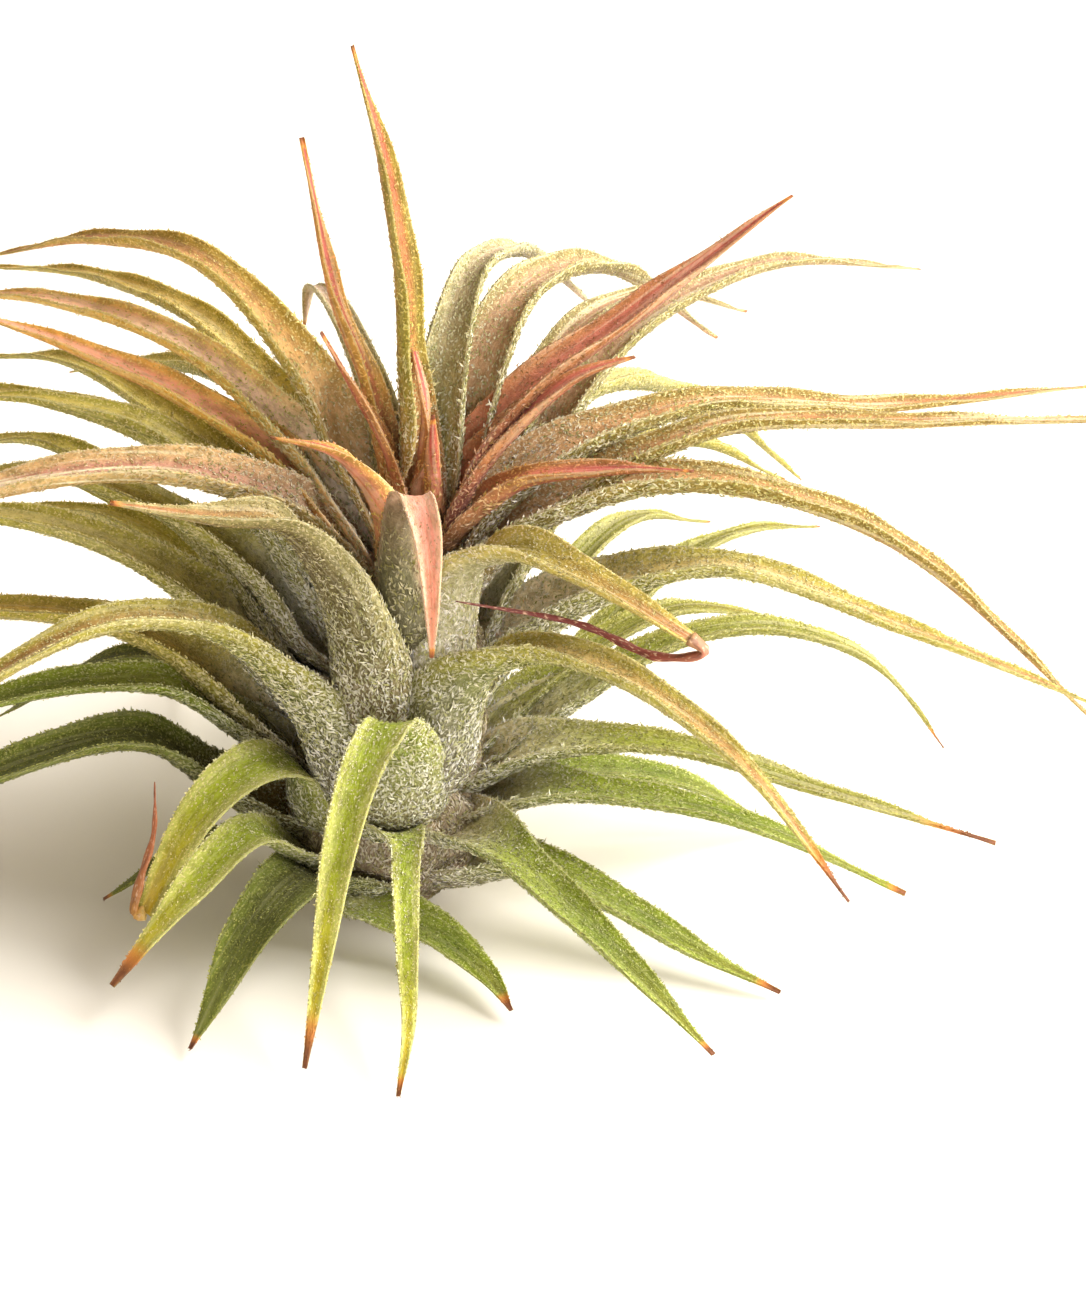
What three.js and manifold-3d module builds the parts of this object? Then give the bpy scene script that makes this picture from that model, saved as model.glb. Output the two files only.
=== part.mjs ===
// A red sky plant: an air plant whose narrow felted leaves stand in a spiral round a short stem.
// Millimetres, +Z up, the middle of the stem's flat end at the origin. The leaves that face the
// viewer point along -Y.
import * as THREE from "three";
import Module from "manifold-3d";

// The stem leans a little to the right and away from the viewer.
// [height, radius] of the stem from its flat end up.
const STEM_LEVELS = [[0, 3.2], [3, 3.6], [26, 3.4], [37, 1.8]];
const STEM_SIDES = 20;
const LEAN_RIGHT = 0.105;
const LEAN_BACK = 0.176;

// A leaf is a channel, thicker than the living blade so that it keeps its form.
const THICKNESS = 0.85;
const TIP_WIDTH = 0.9;
const FOOT_WIDTH = 2.6;
const STATIONS = 11;
const GAP = 0.3;

// Where along the leaf its sheath is widest and its blade begins to taper, and how deep the channel
// is there as a share of the width.
const SHEATH_AT = 0.13;
const BLADE_AT = 0.3;
const TAPER_AT = 0.6;
const TAPER_SHARE = 0.78;
const SHEATH_CHANNEL = 0.16;
const BLADE_CHANNEL = 0.26;
const TIP_CHANNEL = 0.08;

const GREEN = 0x6f8a2c;
const OLIVE = 0x9c9a48;
const RED = 0xb5604a;
const BROWN = 0x6d4a34;

// Each leaf has the compass turn of its plane in degrees, the height of its foot, the widths of its
// sheath and blade, and its route as [reach, height, aside] from the stem.
const LOWER = [
  { turn: -62, foot: 5, sheath: 5.6, blade: 4.2,
    route: [[5, 5, -6], [9, 4.6, -5], [13, 3.6, -2], [19, 2], [23.5, 1]] },
  { turn: -27, foot: 4, sheath: 6, blade: 4.6, route: [[8, 5], [14, 7], [21, 6], [30, 3], [39, 0.8]] },
  { turn: -52, foot: 10, sheath: 6, blade: 3.8,
    route: [[7, 10], [14, 12], [24, 11], [35, 9], [45, 6.5]] },
  { turn: -14, foot: 8, sheath: 6, blade: 4.2,
    route: [[7, 9], [12, 12], [20, 13], [32, 12], [47, 6.5]] },
  { turn: -5, foot: 11, sheath: 6, blade: 3.7,
    route: [[7, 12], [12, 15], [24, 16], [38, 12], [54, 7]] },
  { turn: 13, foot: 5, sheath: 5.6, blade: 4, route: [[8, 8], [16, 10], [26, 8], [36, 1]] },
  { turn: 20, foot: 13, sheath: 6, blade: 3.4,
    route: [[8, 12], [16, 16], [28, 20], [38, 18.5], [47, 12.5], [54, 2]] },
  { turn: 33, foot: 9, sheath: 5.6, blade: 3.8, route: [[8, 12], [18, 17], [30, 19], [42, 14]] },
  { turn: 46, foot: 7, sheath: 5.6, blade: 3.6,
    route: [[8, 8], [21, 12], [38, 18], [48, 17], [58, 13]] },
  { turn: 57, foot: 11, sheath: 5.6, blade: 3.4, route: [[8, 13], [22, 17], [38, 19], [54, 11]] },
  { turn: 155, foot: 10, sheath: 5.6, blade: 3.8, route: [[8, 12], [17, 17], [27, 17], [42, 6]] },
  { turn: 182, foot: 13, sheath: 6, blade: 4.6,
    route: [[8, 12], [14, 17], [21, 21.5], [34, 20.5], [50, 14]] },
  { turn: 190, foot: 8, sheath: 6, blade: 5.6,
    route: [[8, 8], [15, 12.5], [22, 18.3], [34, 16.5], [50, 6.6]] },
  { turn: 188, foot: 4, sheath: 4.8, blade: 3.4, route: [[8, 6], [14, 7], [20, 5], [26, 1]] },
  { turn: 215, foot: 9, sheath: 6, blade: 4,
    route: [[9, 11], [10, 16], [14, 18], [20, 15.5], [27.5, 6]],
    dead: [[27.5, 6], [28.5, 7, -1], [26.5, 10, -2], [25, 14, -2], [24, 19, -2]] },
  { turn: 222, foot: 6, sheath: 6, blade: 3.6, route: [[8, 7], [12, 10], [16, 13], [23, 10], [32, 4]] },
  { turn: 238, foot: 3, sheath: 6.4, blade: 5.2, route: [[8, 6], [15, 9.5], [23, 8.5], [33, 0.8]] },
  { turn: -88, foot: 8, sheath: 5.6, blade: 3.6,
    route: [[8, 11, -1], [12, 13, 1], [16, 12, 1], [23, 8, 1], [29, 5, 1], [35, 2]] },
];
const MIDDLE = [
  { turn: -94, foot: 11, sheath: 6.6, blade: 4,
    route: [[9, 13, 1], [11, 21, 2], [13, 25, 1], [16, 23, -1], [21, 16, -3], [26, 9, -4], [32, 2, -5]] },
  { turn: -35, foot: 14, sheath: 7.6, blade: 4.2,
    route: [[7, 16, -5], [8, 22, -4], [10, 27, -2], [16, 30], [26, 30], [37, 25.5], [47.5, 16]] },
  { turn: -2, foot: 20, sheath: 7, blade: 3.6,
    route: [[8, 24], [16, 30], [28, 33], [44, 27], [64, 18]] },
  { turn: 40, foot: 18, sheath: 6.4, blade: 3.6,
    route: [[8, 24], [14, 30], [24, 35], [34, 33], [46, 24]] },
  { turn: 54, foot: 22, sheath: 6.4, blade: 3.4,
    route: [[8, 29], [15, 34], [26, 38], [44, 30], [64, 11]] },
  { turn: 125, foot: 22, sheath: 6.4, blade: 3.2,
    route: [[8, 29], [16, 35], [28, 38], [44, 33], [59, 25]] },
  { turn: 135, foot: 18, sheath: 6.4, blade: 3.6,
    route: [[9, 25], [17, 31], [28, 35], [44, 36], [58, 31]] },
  { turn: 148, foot: 19, sheath: 6.4, blade: 3.4,
    route: [[9, 27], [17, 35], [30, 38], [44, 37], [56, 33]] },
  { turn: 136, foot: 13, sheath: 6, blade: 3, route: [[9, 14], [18, 18], [30, 24], [44, 24]] },
  { turn: 145, foot: 15, sheath: 6.4, blade: 3.6, route: [[9, 16], [20, 23], [30, 27], [48, 23]] },
  { turn: 165, foot: 16, sheath: 6.4, blade: 4,
    route: [[9, 19], [17, 26], [27, 31], [40, 32], [54, 26]] },
  { turn: 170, foot: 11, sheath: 6.4, blade: 4.2,
    route: [[8, 13], [14, 18], [23, 24], [36, 25], [52, 20]] },
  { turn: 150, foot: 21, sheath: 6.4, blade: 3.2,
    route: [[9, 20], [14, 24], [24, 30], [38, 34], [52, 29]] },
  { turn: 158, foot: 22, sheath: 6.4, blade: 3.6,
    route: [[9, 24], [14, 29], [24, 33], [36, 34], [48, 30]] },
  { turn: 198, foot: 12, sheath: 7, blade: 4.2,
    route: [[6, 15, 6], [8, 21, 5], [12, 27, 2], [18, 31], [28, 32], [48, 22]] },
  { turn: 200, foot: 18, sheath: 8, blade: 5.6,
    route: [[5, 21, 7], [6, 30, 6], [8, 36, 3], [11, 40, 1], [17, 41], [26, 44]] },
];
const UPPER = [
  { turn: -85, foot: 27, sheath: 4.4, blade: 2.8,
    route: [[7, 29, -1], [6, 36, -1], [6, 41], [8, 43], [10, 41], [12, 36], [13, 30]] },
  { turn: -25, foot: 20, sheath: 5.4, blade: 4.6,
    route: [[6, 23, -5], [6, 30, -3], [7, 35, -1], [11, 37], [17, 36], [27.5, 32]],
    dead: [[27.5, 32], [29, 31], [25, 30, -1], [18, 32, -2], [8, 34, -6]] },
  { turn: -2, foot: 34, sheath: 4, blade: 2.6, route: [[5, 37], [9, 40], [16, 41], [24, 41]] },
  { turn: 4, foot: 28, sheath: 5.8, blade: 3.8,
    route: [[7, 34], [13, 37.5], [24, 39.5], [42, 33], [64, 10]] },
  { turn: 14, foot: 27, sheath: 5.8, blade: 3.4,
    route: [[8, 33], [16, 38], [28, 42], [46, 40], [68, 37]] },
  { turn: 24, foot: 31, sheath: 5.8, blade: 3.6,
    route: [[7, 36], [13, 39.5], [27, 41.5], [46, 37], [68, 34]] },
  { turn: 20, foot: 35, sheath: 4.8, blade: 3.2, route: [[4, 39], [8, 43], [14, 47], [20, 48]] },
  { turn: 32, foot: 34, sheath: 4.8, blade: 3.6, route: [[5, 40], [10, 45], [22, 50], [39, 57]] },
  { turn: 44, foot: 28, sheath: 5.8, blade: 3,
    route: [[8, 33], [16, 39], [27, 45], [44, 45.5], [66, 37]] },
  { turn: 52, foot: 26, sheath: 5.8, blade: 3.2,
    route: [[7, 32], [14, 39], [24, 45.5], [36, 44], [50, 36]] },
  { turn: 59, foot: 31, sheath: 5.8, blade: 3.8,
    route: [[6, 38], [11, 46], [18, 50.5], [32, 47], [54, 29]] },
  { turn: 70, foot: 32, sheath: 5.2, blade: 3.4,
    route: [[4, 40], [8, 49], [14, 53.5], [26, 50], [46, 34]] },
  { turn: 115, foot: 30, sheath: 5.2, blade: 3.2,
    route: [[5, 39], [11, 46], [18, 49], [23, 48], [25, 43]] },
  { turn: 130, foot: 26, sheath: 5.2, blade: 2.8,
    route: [[8, 34], [17, 40], [29, 44], [46, 42], [66, 35]] },
  { turn: 140, foot: 33, sheath: 5.8, blade: 4,
    route: [[8, 40], [14, 47], [25, 53], [38, 51], [53, 44]] },
  { turn: 146, foot: 30, sheath: 5.8, blade: 3.4,
    route: [[7, 35], [14, 41], [25, 46], [40, 46], [55, 42]] },
  { turn: 153, foot: 28, sheath: 5.8, blade: 3.6,
    route: [[6, 32], [13, 39], [23, 43], [34, 45], [47, 46]] },
  { turn: 160, foot: 25, sheath: 5.8, blade: 3.4,
    route: [[8, 30], [15, 36], [24, 41], [34, 42], [46, 40]] },
  { turn: 182, foot: 28, sheath: 5.8, blade: 4.4,
    route: [[7, 35], [14, 40], [24, 42], [37, 40], [56, 32]] },
  { turn: 195, foot: 32, sheath: 4.4, blade: 2.8,
    route: [[3, 36, 4], [4, 40, 3], [7, 44, 1], [13, 46]] },
  { turn: 104, foot: 36, sheath: 4.4, blade: 3.6,
    route: [[2, 43], [4, 51], [6, 58], [9, 67, 1], [12, 76, 3]] },
  { turn: 137, foot: 35, sheath: 4, blade: 2.8, route: [[4, 41], [6, 47], [10, 54], [17, 66, -3]] },
];
// The youngest leaves, joined at the foot by the bud, given as [height, radius] from its lower end up.
const BUD = [[37.4, 2.4], [40, 1.8], [43, 0.7]];
const BUD_SIDES = 8;
const HEART = [
  { turn: 150, foot: 36, sheath: 2, blade: 1.8, route: [[3, 41], [6, 46], [10, 51]] },
  { turn: 80, foot: 36, sheath: 2.2, blade: 2, route: [[1, 41], [2, 46], [5, 51, 2]] },
  { turn: -10, foot: 36, sheath: 2.2, blade: 1.6, route: [[1, 40], [1, 46]] },
];
// Leaves of the far side, joined round the stem.
const BACK_LOW = [
  { turn: 78, foot: 5, sheath: 4, blade: 3.6, route: [[8, 8], [18, 11], [30, 9], [44, 1]] },
  { turn: 100, foot: 6, sheath: 4, blade: 3.6, route: [[8, 9], [18, 12], [30, 10], [42, 1]] },
  { turn: 122, foot: 5, sheath: 4, blade: 3.6, route: [[8, 8], [18, 11], [28, 8], [40, 1]] },
];
const BACK_MIDDLE = [
  { turn: 86, foot: 20, sheath: 4.6, blade: 3.6, route: [[8, 24], [16, 28], [28, 26], [42, 16]] },
  { turn: 106, foot: 18, sheath: 4.6, blade: 3.6, route: [[8, 23], [17, 28], [30, 27], [46, 18]] },
];

const wasm = await Module();
wasm.setup();

const group = new THREE.Group();
group.name = "red_sky_plant";

function material(name, color) {
  return new THREE.MeshStandardMaterial({ name, color, roughness: 0.85, metalness: 0 });
}

function axisAt(height) {
  return new THREE.Vector3(LEAN_RIGHT * height, LEAN_BACK * height, height);
}

// A point of a leaf: out from the stem, up, and aside from the leaf's own plane.
function placed(leaf, [reach, height, aside = 0]) {
  const turn = THREE.MathUtils.degToRad(leaf.turn);
  const middle = axisAt(leaf.foot);
  return new THREE.Vector3(
    middle.x + reach * Math.cos(turn) - aside * Math.sin(turn),
    middle.y + reach * Math.sin(turn) + aside * Math.cos(turn),
    height,
  );
}

// The value at s of straight lines through the [s, value] pairs.
function along(pairs, s) {
  let i = 1;
  while (i < pairs.length - 1 && s > pairs[i][0]) i += 1;
  const [s0, v0] = pairs[i - 1];
  const [s1, v1] = pairs[i];
  return v0 + ((v1 - v0) * (s - s0)) / (s1 - s0);
}

function stemRadiusAt(height) {
  return along(STEM_LEVELS, height);
}

function widthOf(leaf, s) {
  return along(
    [
      [0, FOOT_WIDTH],
      [SHEATH_AT, leaf.sheath],
      [BLADE_AT, leaf.blade],
      [TAPER_AT, leaf.blade * TAPER_SHARE],
      [1, TIP_WIDTH],
    ],
    s,
  );
}

function channelOf(s) {
  return along(
    [
      [0, SHEATH_CHANNEL],
      [SHEATH_AT, SHEATH_CHANNEL],
      [BLADE_AT, BLADE_CHANNEL],
      [1, TIP_CHANNEL],
    ],
    s,
  );
}

function solidOf(positions, triangles) {
  return new wasm.Manifold(
    new wasm.Mesh({
      numProp: 3,
      vertProperties: new Float32Array(positions),
      triVerts: new Uint32Array(triangles),
    }),
  );
}

// A channelled strip swept along the points, each face of it split into the same triangles.
function strip(points, widthAt, channelAt, grow) {
  const curve = new THREE.CatmullRomCurve3(points, false, "centripetal");
  const positions = [];
  const triangles = [];
  const across = [-1, -0.5, 0.5, 1];
  for (let i = 0; i < STATIONS; i += 1) {
    const s = i / (STATIONS - 1);
    const centre = curve.getPointAt(s);
    const forward = curve.getTangentAt(s);
    const out = centre.clone().sub(axisAt(centre.z));
    const side = new THREE.Vector3(-out.y, out.x, 0).normalize();
    const right = side.clone().addScaledVector(forward, -side.dot(forward)).normalize();
    const inward = forward.clone().cross(right);
    const end = i === 0 ? -grow : i === STATIONS - 1 ? grow : 0;
    const width = widthAt(s);
    const depth = width * channelAt(s);
    const half = THICKNESS / 2 + grow;
    const ring = [...across.map((u) => [u, -half]), ...across.toReversed().map((u) => [u, half])];
    for (const [u, lift] of ring) {
      const p = centre
        .clone()
        .addScaledVector(forward, end)
        .addScaledVector(right, u * (width / 2 + grow))
        .addScaledVector(inward, depth * (u * u - 0.5) + lift);
      positions.push(p.x, p.y, p.z);
    }
  }
  const count = across.length * 2;
  for (let i = 0; i + 1 < STATIONS; i += 1) {
    for (let j = 0; j < count; j += 1) {
      const a = i * count + j;
      const b = i * count + ((j + 1) % count);
      const c = b + count;
      const d = a + count;
      if (j < across.length) triangles.push(a, b, c, a, c, d);
      else triangles.push(a, b, d, b, c, d);
    }
  }
  const last = (STATIONS - 1) * count;
  for (let j = 0; j + 1 < across.length; j += 1) {
    const a = j;
    const b = j + 1;
    const c = count - 2 - j;
    const d = count - 1 - j;
    triangles.push(a, c, b, a, d, c);
    triangles.push(last + a, last + b, last + c, last + a, last + c, last + d);
  }
  return solidOf(positions, triangles);
}

function leafSolid(leaf, grow = 0) {
  const foot = [stemRadiusAt(leaf.foot) - 0.6, leaf.foot - 1, (leaf.route[0][2] ?? 0) * 0.3];
  const points = [foot, ...leaf.route].map((p) => placed(leaf, p));
  const blade = strip(points, (s) => widthOf(leaf, s), channelOf, grow);
  if (!leaf.dead) return blade;
  // The dead tip is bent back on the blade.
  const bent = leaf.dead.map((p) => placed(leaf, p));
  const tip = strip(bent, () => TIP_WIDTH, () => TIP_CHANNEL, grow);
  return blade.add(tip);
}

// A round body up the stem's axis through the [height, radius] levels.
function roundSolid(levels, sides, grow = 0) {
  const positions = [];
  const triangles = [];
  levels.forEach(([height, radius], i) => {
    const middle = axisAt(height);
    const rise = i === levels.length - 1 ? grow : 0;
    for (let j = 0; j < sides; j += 1) {
      const turn = (2 * Math.PI * j) / sides;
      positions.push(
        middle.x + (radius + grow) * Math.cos(turn),
        middle.y + (radius + grow) * Math.sin(turn),
        middle.z + rise,
      );
    }
  });
  for (let i = 0; i + 1 < levels.length; i += 1) {
    for (let j = 0; j < sides; j += 1) {
      const a = i * sides + j;
      const b = i * sides + ((j + 1) % sides);
      triangles.push(a, b, b + sides, a, b + sides, a + sides);
    }
  }
  const top = (levels.length - 1) * sides;
  for (let j = 1; j + 1 < sides; j += 1) {
    triangles.push(0, j + 1, j, top, top + j, top + j + 1);
  }
  return solidOf(positions, triangles);
}

function largestOf(solid) {
  return solid.decompose().reduce((best, piece) => (piece.volume() > best.volume() ? piece : best));
}

function addMesh(name, solid, surface) {
  const mesh = solid.getMesh();
  const geometry = new THREE.BufferGeometry();
  const positions = new Float32Array(mesh.numVert * 3);
  for (let i = 0; i < mesh.numVert; i += 1) {
    positions.set(mesh.vertProperties.subarray(i * mesh.numProp, i * mesh.numProp + 3), i * 3);
  }
  geometry.setAttribute("position", new THREE.BufferAttribute(positions, 3));
  geometry.setIndex(new THREE.BufferAttribute(mesh.triVerts, 1));
  geometry.computeVertexNormals();
  const made = new THREE.Mesh(geometry, surface);
  made.name = name;
  group.add(made);
}

// Each leaf is cut clear of the stem and of the leaves that were placed before it.
const taken = [roundSolid(STEM_LEVELS, STEM_SIDES, GAP)];
function addLeaves(name, leaves, surface, joint) {
  const solids = leaves.map((leaf) => leafSolid(leaf));
  if (joint) solids.push(joint);
  const whole = solids.reduce((sum, one) => sum.add(one));
  const cut = taken.reduce((rest, other) => rest.subtract(other), whole);
  addMesh(name, largestOf(cut), surface);
  leaves.forEach((leaf) => taken.push(leafSolid(leaf, GAP)));
}

function addRing(prefix, leaves, color) {
  leaves.forEach((leaf, i) => {
    const name = prefix + "_" + String(i + 1).padStart(2, "0");
    addLeaves(name, [leaf], material(name, color));
  });
}

addMesh("stem", roundSolid(STEM_LEVELS, STEM_SIDES), material("stem", BROWN));
addRing("lower_leaf", LOWER, GREEN);
addRing("middle_leaf", MIDDLE, OLIVE);
addLeaves("heart_leaves", HEART, material("heart_leaves", RED), roundSolid(BUD, BUD_SIDES));
taken.push(roundSolid(BUD, BUD_SIDES, GAP));
addRing("upper_leaf", UPPER, RED);
addLeaves("back_low_leaves", BACK_LOW, material("back_low_leaves", GREEN));
addLeaves("back_middle_leaves", BACK_MIDDLE, material("back_middle_leaves", OLIVE));

export default group;
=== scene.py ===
# %% [markdown]
# # A red sky plant
#
# The real thing is an air plant: some sixty narrow leaves stand in a spiral round a stem that is
# hardly longer than the end of a thumb. Each leaf starts as a broad, felted sheath that clasps the
# stem and then narrows to a channelled blade that arches out. The low leaves are green, the middle
# ones olive gold, and the youngest turn orange and red, as the plant does before it flowers.
#
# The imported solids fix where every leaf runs. This script gives each of them its finished form on
# the same line, or very nearly: a thick-skinned channel with thin edges, felt, and colour.

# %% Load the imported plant
import math
import bmesh
import bpy
import numpy as np
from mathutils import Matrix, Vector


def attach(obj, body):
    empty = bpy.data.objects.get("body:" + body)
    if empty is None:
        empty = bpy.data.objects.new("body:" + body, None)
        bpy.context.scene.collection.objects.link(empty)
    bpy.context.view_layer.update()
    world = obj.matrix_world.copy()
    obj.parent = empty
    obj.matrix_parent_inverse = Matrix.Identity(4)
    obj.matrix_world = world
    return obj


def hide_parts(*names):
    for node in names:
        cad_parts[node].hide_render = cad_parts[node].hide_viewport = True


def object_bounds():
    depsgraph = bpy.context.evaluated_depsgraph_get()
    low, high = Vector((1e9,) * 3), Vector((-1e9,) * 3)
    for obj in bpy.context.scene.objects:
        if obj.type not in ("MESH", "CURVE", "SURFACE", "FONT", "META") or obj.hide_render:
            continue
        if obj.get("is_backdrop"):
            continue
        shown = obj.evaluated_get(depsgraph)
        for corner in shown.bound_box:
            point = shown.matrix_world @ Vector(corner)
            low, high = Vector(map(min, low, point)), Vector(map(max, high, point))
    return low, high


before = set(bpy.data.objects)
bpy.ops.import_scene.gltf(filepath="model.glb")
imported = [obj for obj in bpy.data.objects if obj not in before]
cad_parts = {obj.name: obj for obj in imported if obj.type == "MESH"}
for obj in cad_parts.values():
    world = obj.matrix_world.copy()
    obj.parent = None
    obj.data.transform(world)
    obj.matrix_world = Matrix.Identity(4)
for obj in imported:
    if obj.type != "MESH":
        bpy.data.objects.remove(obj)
cad_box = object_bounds()
MM = 0.001
print("nodes in the frame:", len(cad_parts))

# %% [markdown]
# ## The point of view
#
# The plant is seen from the front and from well above, through a long lens. A long lens keeps the
# near leaves from growing out of proportion, so the camera stands far off for such a small thing.
# The tilt and the distance are set until the leaves fall where they should in the frame.
# Lengths are in millimetres and angles in degrees, and Blender itself is given metres.

# %% Camera
FRAME_SIZE = (1086, 1303)
CAMERA_TILT = 32
CAMERA_DISTANCE = 450
FOCAL_PIXELS = 4950
STEM_PIXEL = (385, 890)
SENSOR = 36
CLIP_METRES = (0.01, 10)

tilt = math.radians(CAMERA_TILT)
sight = np.array([0, math.cos(tilt), -math.sin(tilt)])
upwards = np.array([0, math.sin(tilt), math.cos(tilt)])
pixels_per_mm = FOCAL_PIXELS / CAMERA_DISTANCE
aim = np.array([(FRAME_SIZE[0] / 2 - STEM_PIXEL[0]) / pixels_per_mm, 0, 0])
aim = aim + upwards * (STEM_PIXEL[1] - FRAME_SIZE[1] / 2) / pixels_per_mm
lens = bpy.data.cameras.new("long_lens")
lens.sensor_width = SENSOR
lens.lens = SENSOR * FOCAL_PIXELS / FRAME_SIZE[1]
lens.clip_start, lens.clip_end = CLIP_METRES
camera = bpy.data.objects.new("camera", lens)
camera.location = (aim - sight * CAMERA_DISTANCE) * MM
camera.rotation_euler = (math.radians(90 - CAMERA_TILT), 0, 0)
bpy.context.scene.collection.objects.link(camera)
bpy.context.scene.camera = camera
print("lens", round(lens.lens, 1), "mm, camera at", [round(v, 3) for v in camera.location])

# %% [markdown]
# ## Colours
#
# Paint colours are easiest to think of as the screen shows them, so they are written as hex and
# turned into the linear values that a renderer works in.

# %% Colour helper
def linear(code):
    """The linear colour of a hex code such as "a0b040", with nothing see-through."""
    parts = [int(code[i:i + 2], 16) / 255 for i in (0, 2, 4)]
    return [p / 12.92 if p <= 0.04045 else ((p + 0.055) / 1.055) ** 2.4 for p in parts] + [1.0]


print("mid grey is", round(linear("808080")[0], 3), "in linear light")

# %% [markdown]
# ## The floor
#
# The plant stands on a plain white surface. A matt white shows nothing but the shadow, so a grid
# of four faces does, as long as it reaches well past the frame. It is marked as a backdrop, which
# keeps it out of the plant's sizes. Two helpers come with it: one makes a material, the other an
# object.

# %% Floor
FLOOR_REACH = 3.0
FLOOR_FINISH = {"Base Color": linear("f8f5ef"), "Roughness": 0.7}


def new_material(name, finish):
    """A material with the shader's plain values set, and with it its node tree and shader."""
    made = bpy.data.materials.new(name)
    made.use_nodes = True
    shader = made.node_tree.nodes["Principled BSDF"]
    for socket, value in finish.items():
        shader.inputs[socket].default_value = value
    return made, made.node_tree, shader


def object_of(name, bm, materials):
    """A finished object at the origin from a bmesh."""
    mesh = bpy.data.meshes.new(name)
    bm.to_mesh(mesh)
    bm.free()
    for surface in materials:
        mesh.materials.append(surface)
    made = bpy.data.objects.new(name, mesh)
    bpy.context.scene.collection.objects.link(made)
    return made


floor_bm = bmesh.new()
bmesh.ops.create_grid(floor_bm, x_segments=2, y_segments=2, size=FLOOR_REACH)
floor = object_of("floor", floor_bm, [new_material("white_surface", FLOOR_FINISH)[0]])
floor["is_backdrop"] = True
print("floor", 2 * FLOOR_REACH, "m wide")

# %% [markdown]
# ## The light
#
# The light is bright and soft. It comes from the right and a little from behind, so the near left
# side of the plant and the floor there fall into a warm shade, while the rest of the floor is
# nearly pure white. One large lamp high on the right gives that, and a warm white world fills in
# the rest. A weak lamp low in front does what a white card would: it lights the upright sheaths
# and hardly touches the floor. The colours are shown as they are, with no film curve.

# %% Lamps and world
KEY_PLACE = (0.70, 0.06, 0.52)
KEY_SIZE = 0.85
KEY_POWER = 24.0
KEY_COLOUR = "fffbf4"
CARD_PLACE = (0.05, -0.75, 0.13)
CARD_SIZE = 0.35
CARD_POWER = 2.3
CARD_COLOUR = "fffaf0"
WORLD_COLOUR = "ffedd6"
WORLD_STRENGTH = 0.43


def soft_lamp(name, place, size, power, colour):
    """A round lamp that faces the plant."""
    light = bpy.data.lights.new(name, "AREA")
    light.shape = "DISK"
    light.size = size
    light.energy = power
    light.color = linear(colour)[:3]
    lamp = bpy.data.objects.new(name, light)
    lamp.location = place
    lamp.rotation_euler = (-lamp.location).to_track_quat("-Z", "Y").to_euler()
    bpy.context.scene.collection.objects.link(lamp)
    return lamp


key_lamp = soft_lamp("key", KEY_PLACE, KEY_SIZE, KEY_POWER, KEY_COLOUR)
card = soft_lamp("card", CARD_PLACE, CARD_SIZE, CARD_POWER, CARD_COLOUR)
world = bpy.data.worlds.new("studio")
world.use_nodes = True
backdrop = world.node_tree.nodes["Background"]
backdrop.inputs["Color"].default_value = linear(WORLD_COLOUR)
backdrop.inputs["Strength"].default_value = WORLD_STRENGTH
bpy.context.scene.world = world
bpy.context.scene.view_settings.view_transform = "Standard"
for lamp in (key_lamp, card):
    print(lamp.name, round(lamp.location.length, 2), "m from the plant")

# %% [markdown]
# ## Where each leaf runs
#
# A leaf of the real plant stays close to one upright plane through the stem, so it is easy to say
# where it goes: the compass turn of that plane, the height at which it leaves the stem, how wide
# its sheath and its blade are, and a few points of its route. Each point is the reach from the
# stem, the height, and, where the leaf wanders out of its plane, how far aside. All in millimetres.
# The word after the node's name says which of the plant's colourings it wears, "dry" is the length
# of the brown tip, "dead" is the route of a dead end that hangs on after it, and "cup" says how
# deep its channel is next to the channels of its neighbours. "broad" is the share of its width that
# a blade keeps two thirds of the way out, and "roll" turns the blade about its own line.
#
# The lower leaves are the oldest. They are flat and green, and some reach down to the ground.

# %% The lower leaves
leaves = []


def leaf(node, look, turn, foot, sheath, blade, route, dead=None, dry=0.7, cup=1.0, broad=None,
         roll=0):
    """Adds one leaf to the list."""
    leaves.append(dict(node=node, look=look, turn=math.radians(turn), foot=foot, sheath=sheath,
                       blade=blade, route=route, dead=dead, dry=dry, cup=cup, broad=broad,
                       roll=math.radians(roll)))


leaf("lower_leaf_01", "meadow", -62, 5, 8, 5.0,
     [(5, 5, -6), (9, 4.6, -5), (13, 3.6, -2), (19, 2), (23.5, 1)], dry=1.5, cup=0.75)
leaf("lower_leaf_02", "meadow", -27, 4, 7.6, 4.6,
     [(8, 5), (14, 7), (21, 6), (30, 3), (39, 0.8)], dry=1.8)
leaf("lower_leaf_03", "meadow", -52, 10, 6.6, 4.6,
     [(7, 10), (14, 12), (24, 11), (35, 9), (45, 6.5)], dry=1.2)
leaf("lower_leaf_04", "meadow", -14, 8, 6.6, 3.6,
     [(7, 9), (12, 12), (20, 13), (32, 12), (47, 6.5)], dry=1.2)
leaf("lower_leaf_05", "lime", -5, 11, 6, 3.1,
     [(7, 12), (12, 15), (24, 16), (38, 12), (54, 7)], dry=5.5)
leaf("lower_leaf_06", "meadow", 13, 5, 6.6, 4,
     [(8, 8), (16, 10), (26, 8), (36, 1)], dry=1.5)
leaf("lower_leaf_07", "lime", 20, 13, 6, 3.4,
     [(8, 12), (16, 16), (28, 20), (38, 18.5), (47, 12.5), (54, 2)], dry=2.5)
leaf("lower_leaf_08", "lime", 33, 9, 5.6, 3.8,
     [(8, 12), (18, 17), (30, 19), (42, 14)])
leaf("lower_leaf_09", "lime", 46, 7, 5.6, 3.6,
     [(8, 8), (21, 12), (38, 18), (48, 17), (58, 13)])
leaf("lower_leaf_10", "lime", 57, 11, 5.6, 3.4,
     [(8, 13), (22, 17), (38, 19), (54, 11)])
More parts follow.
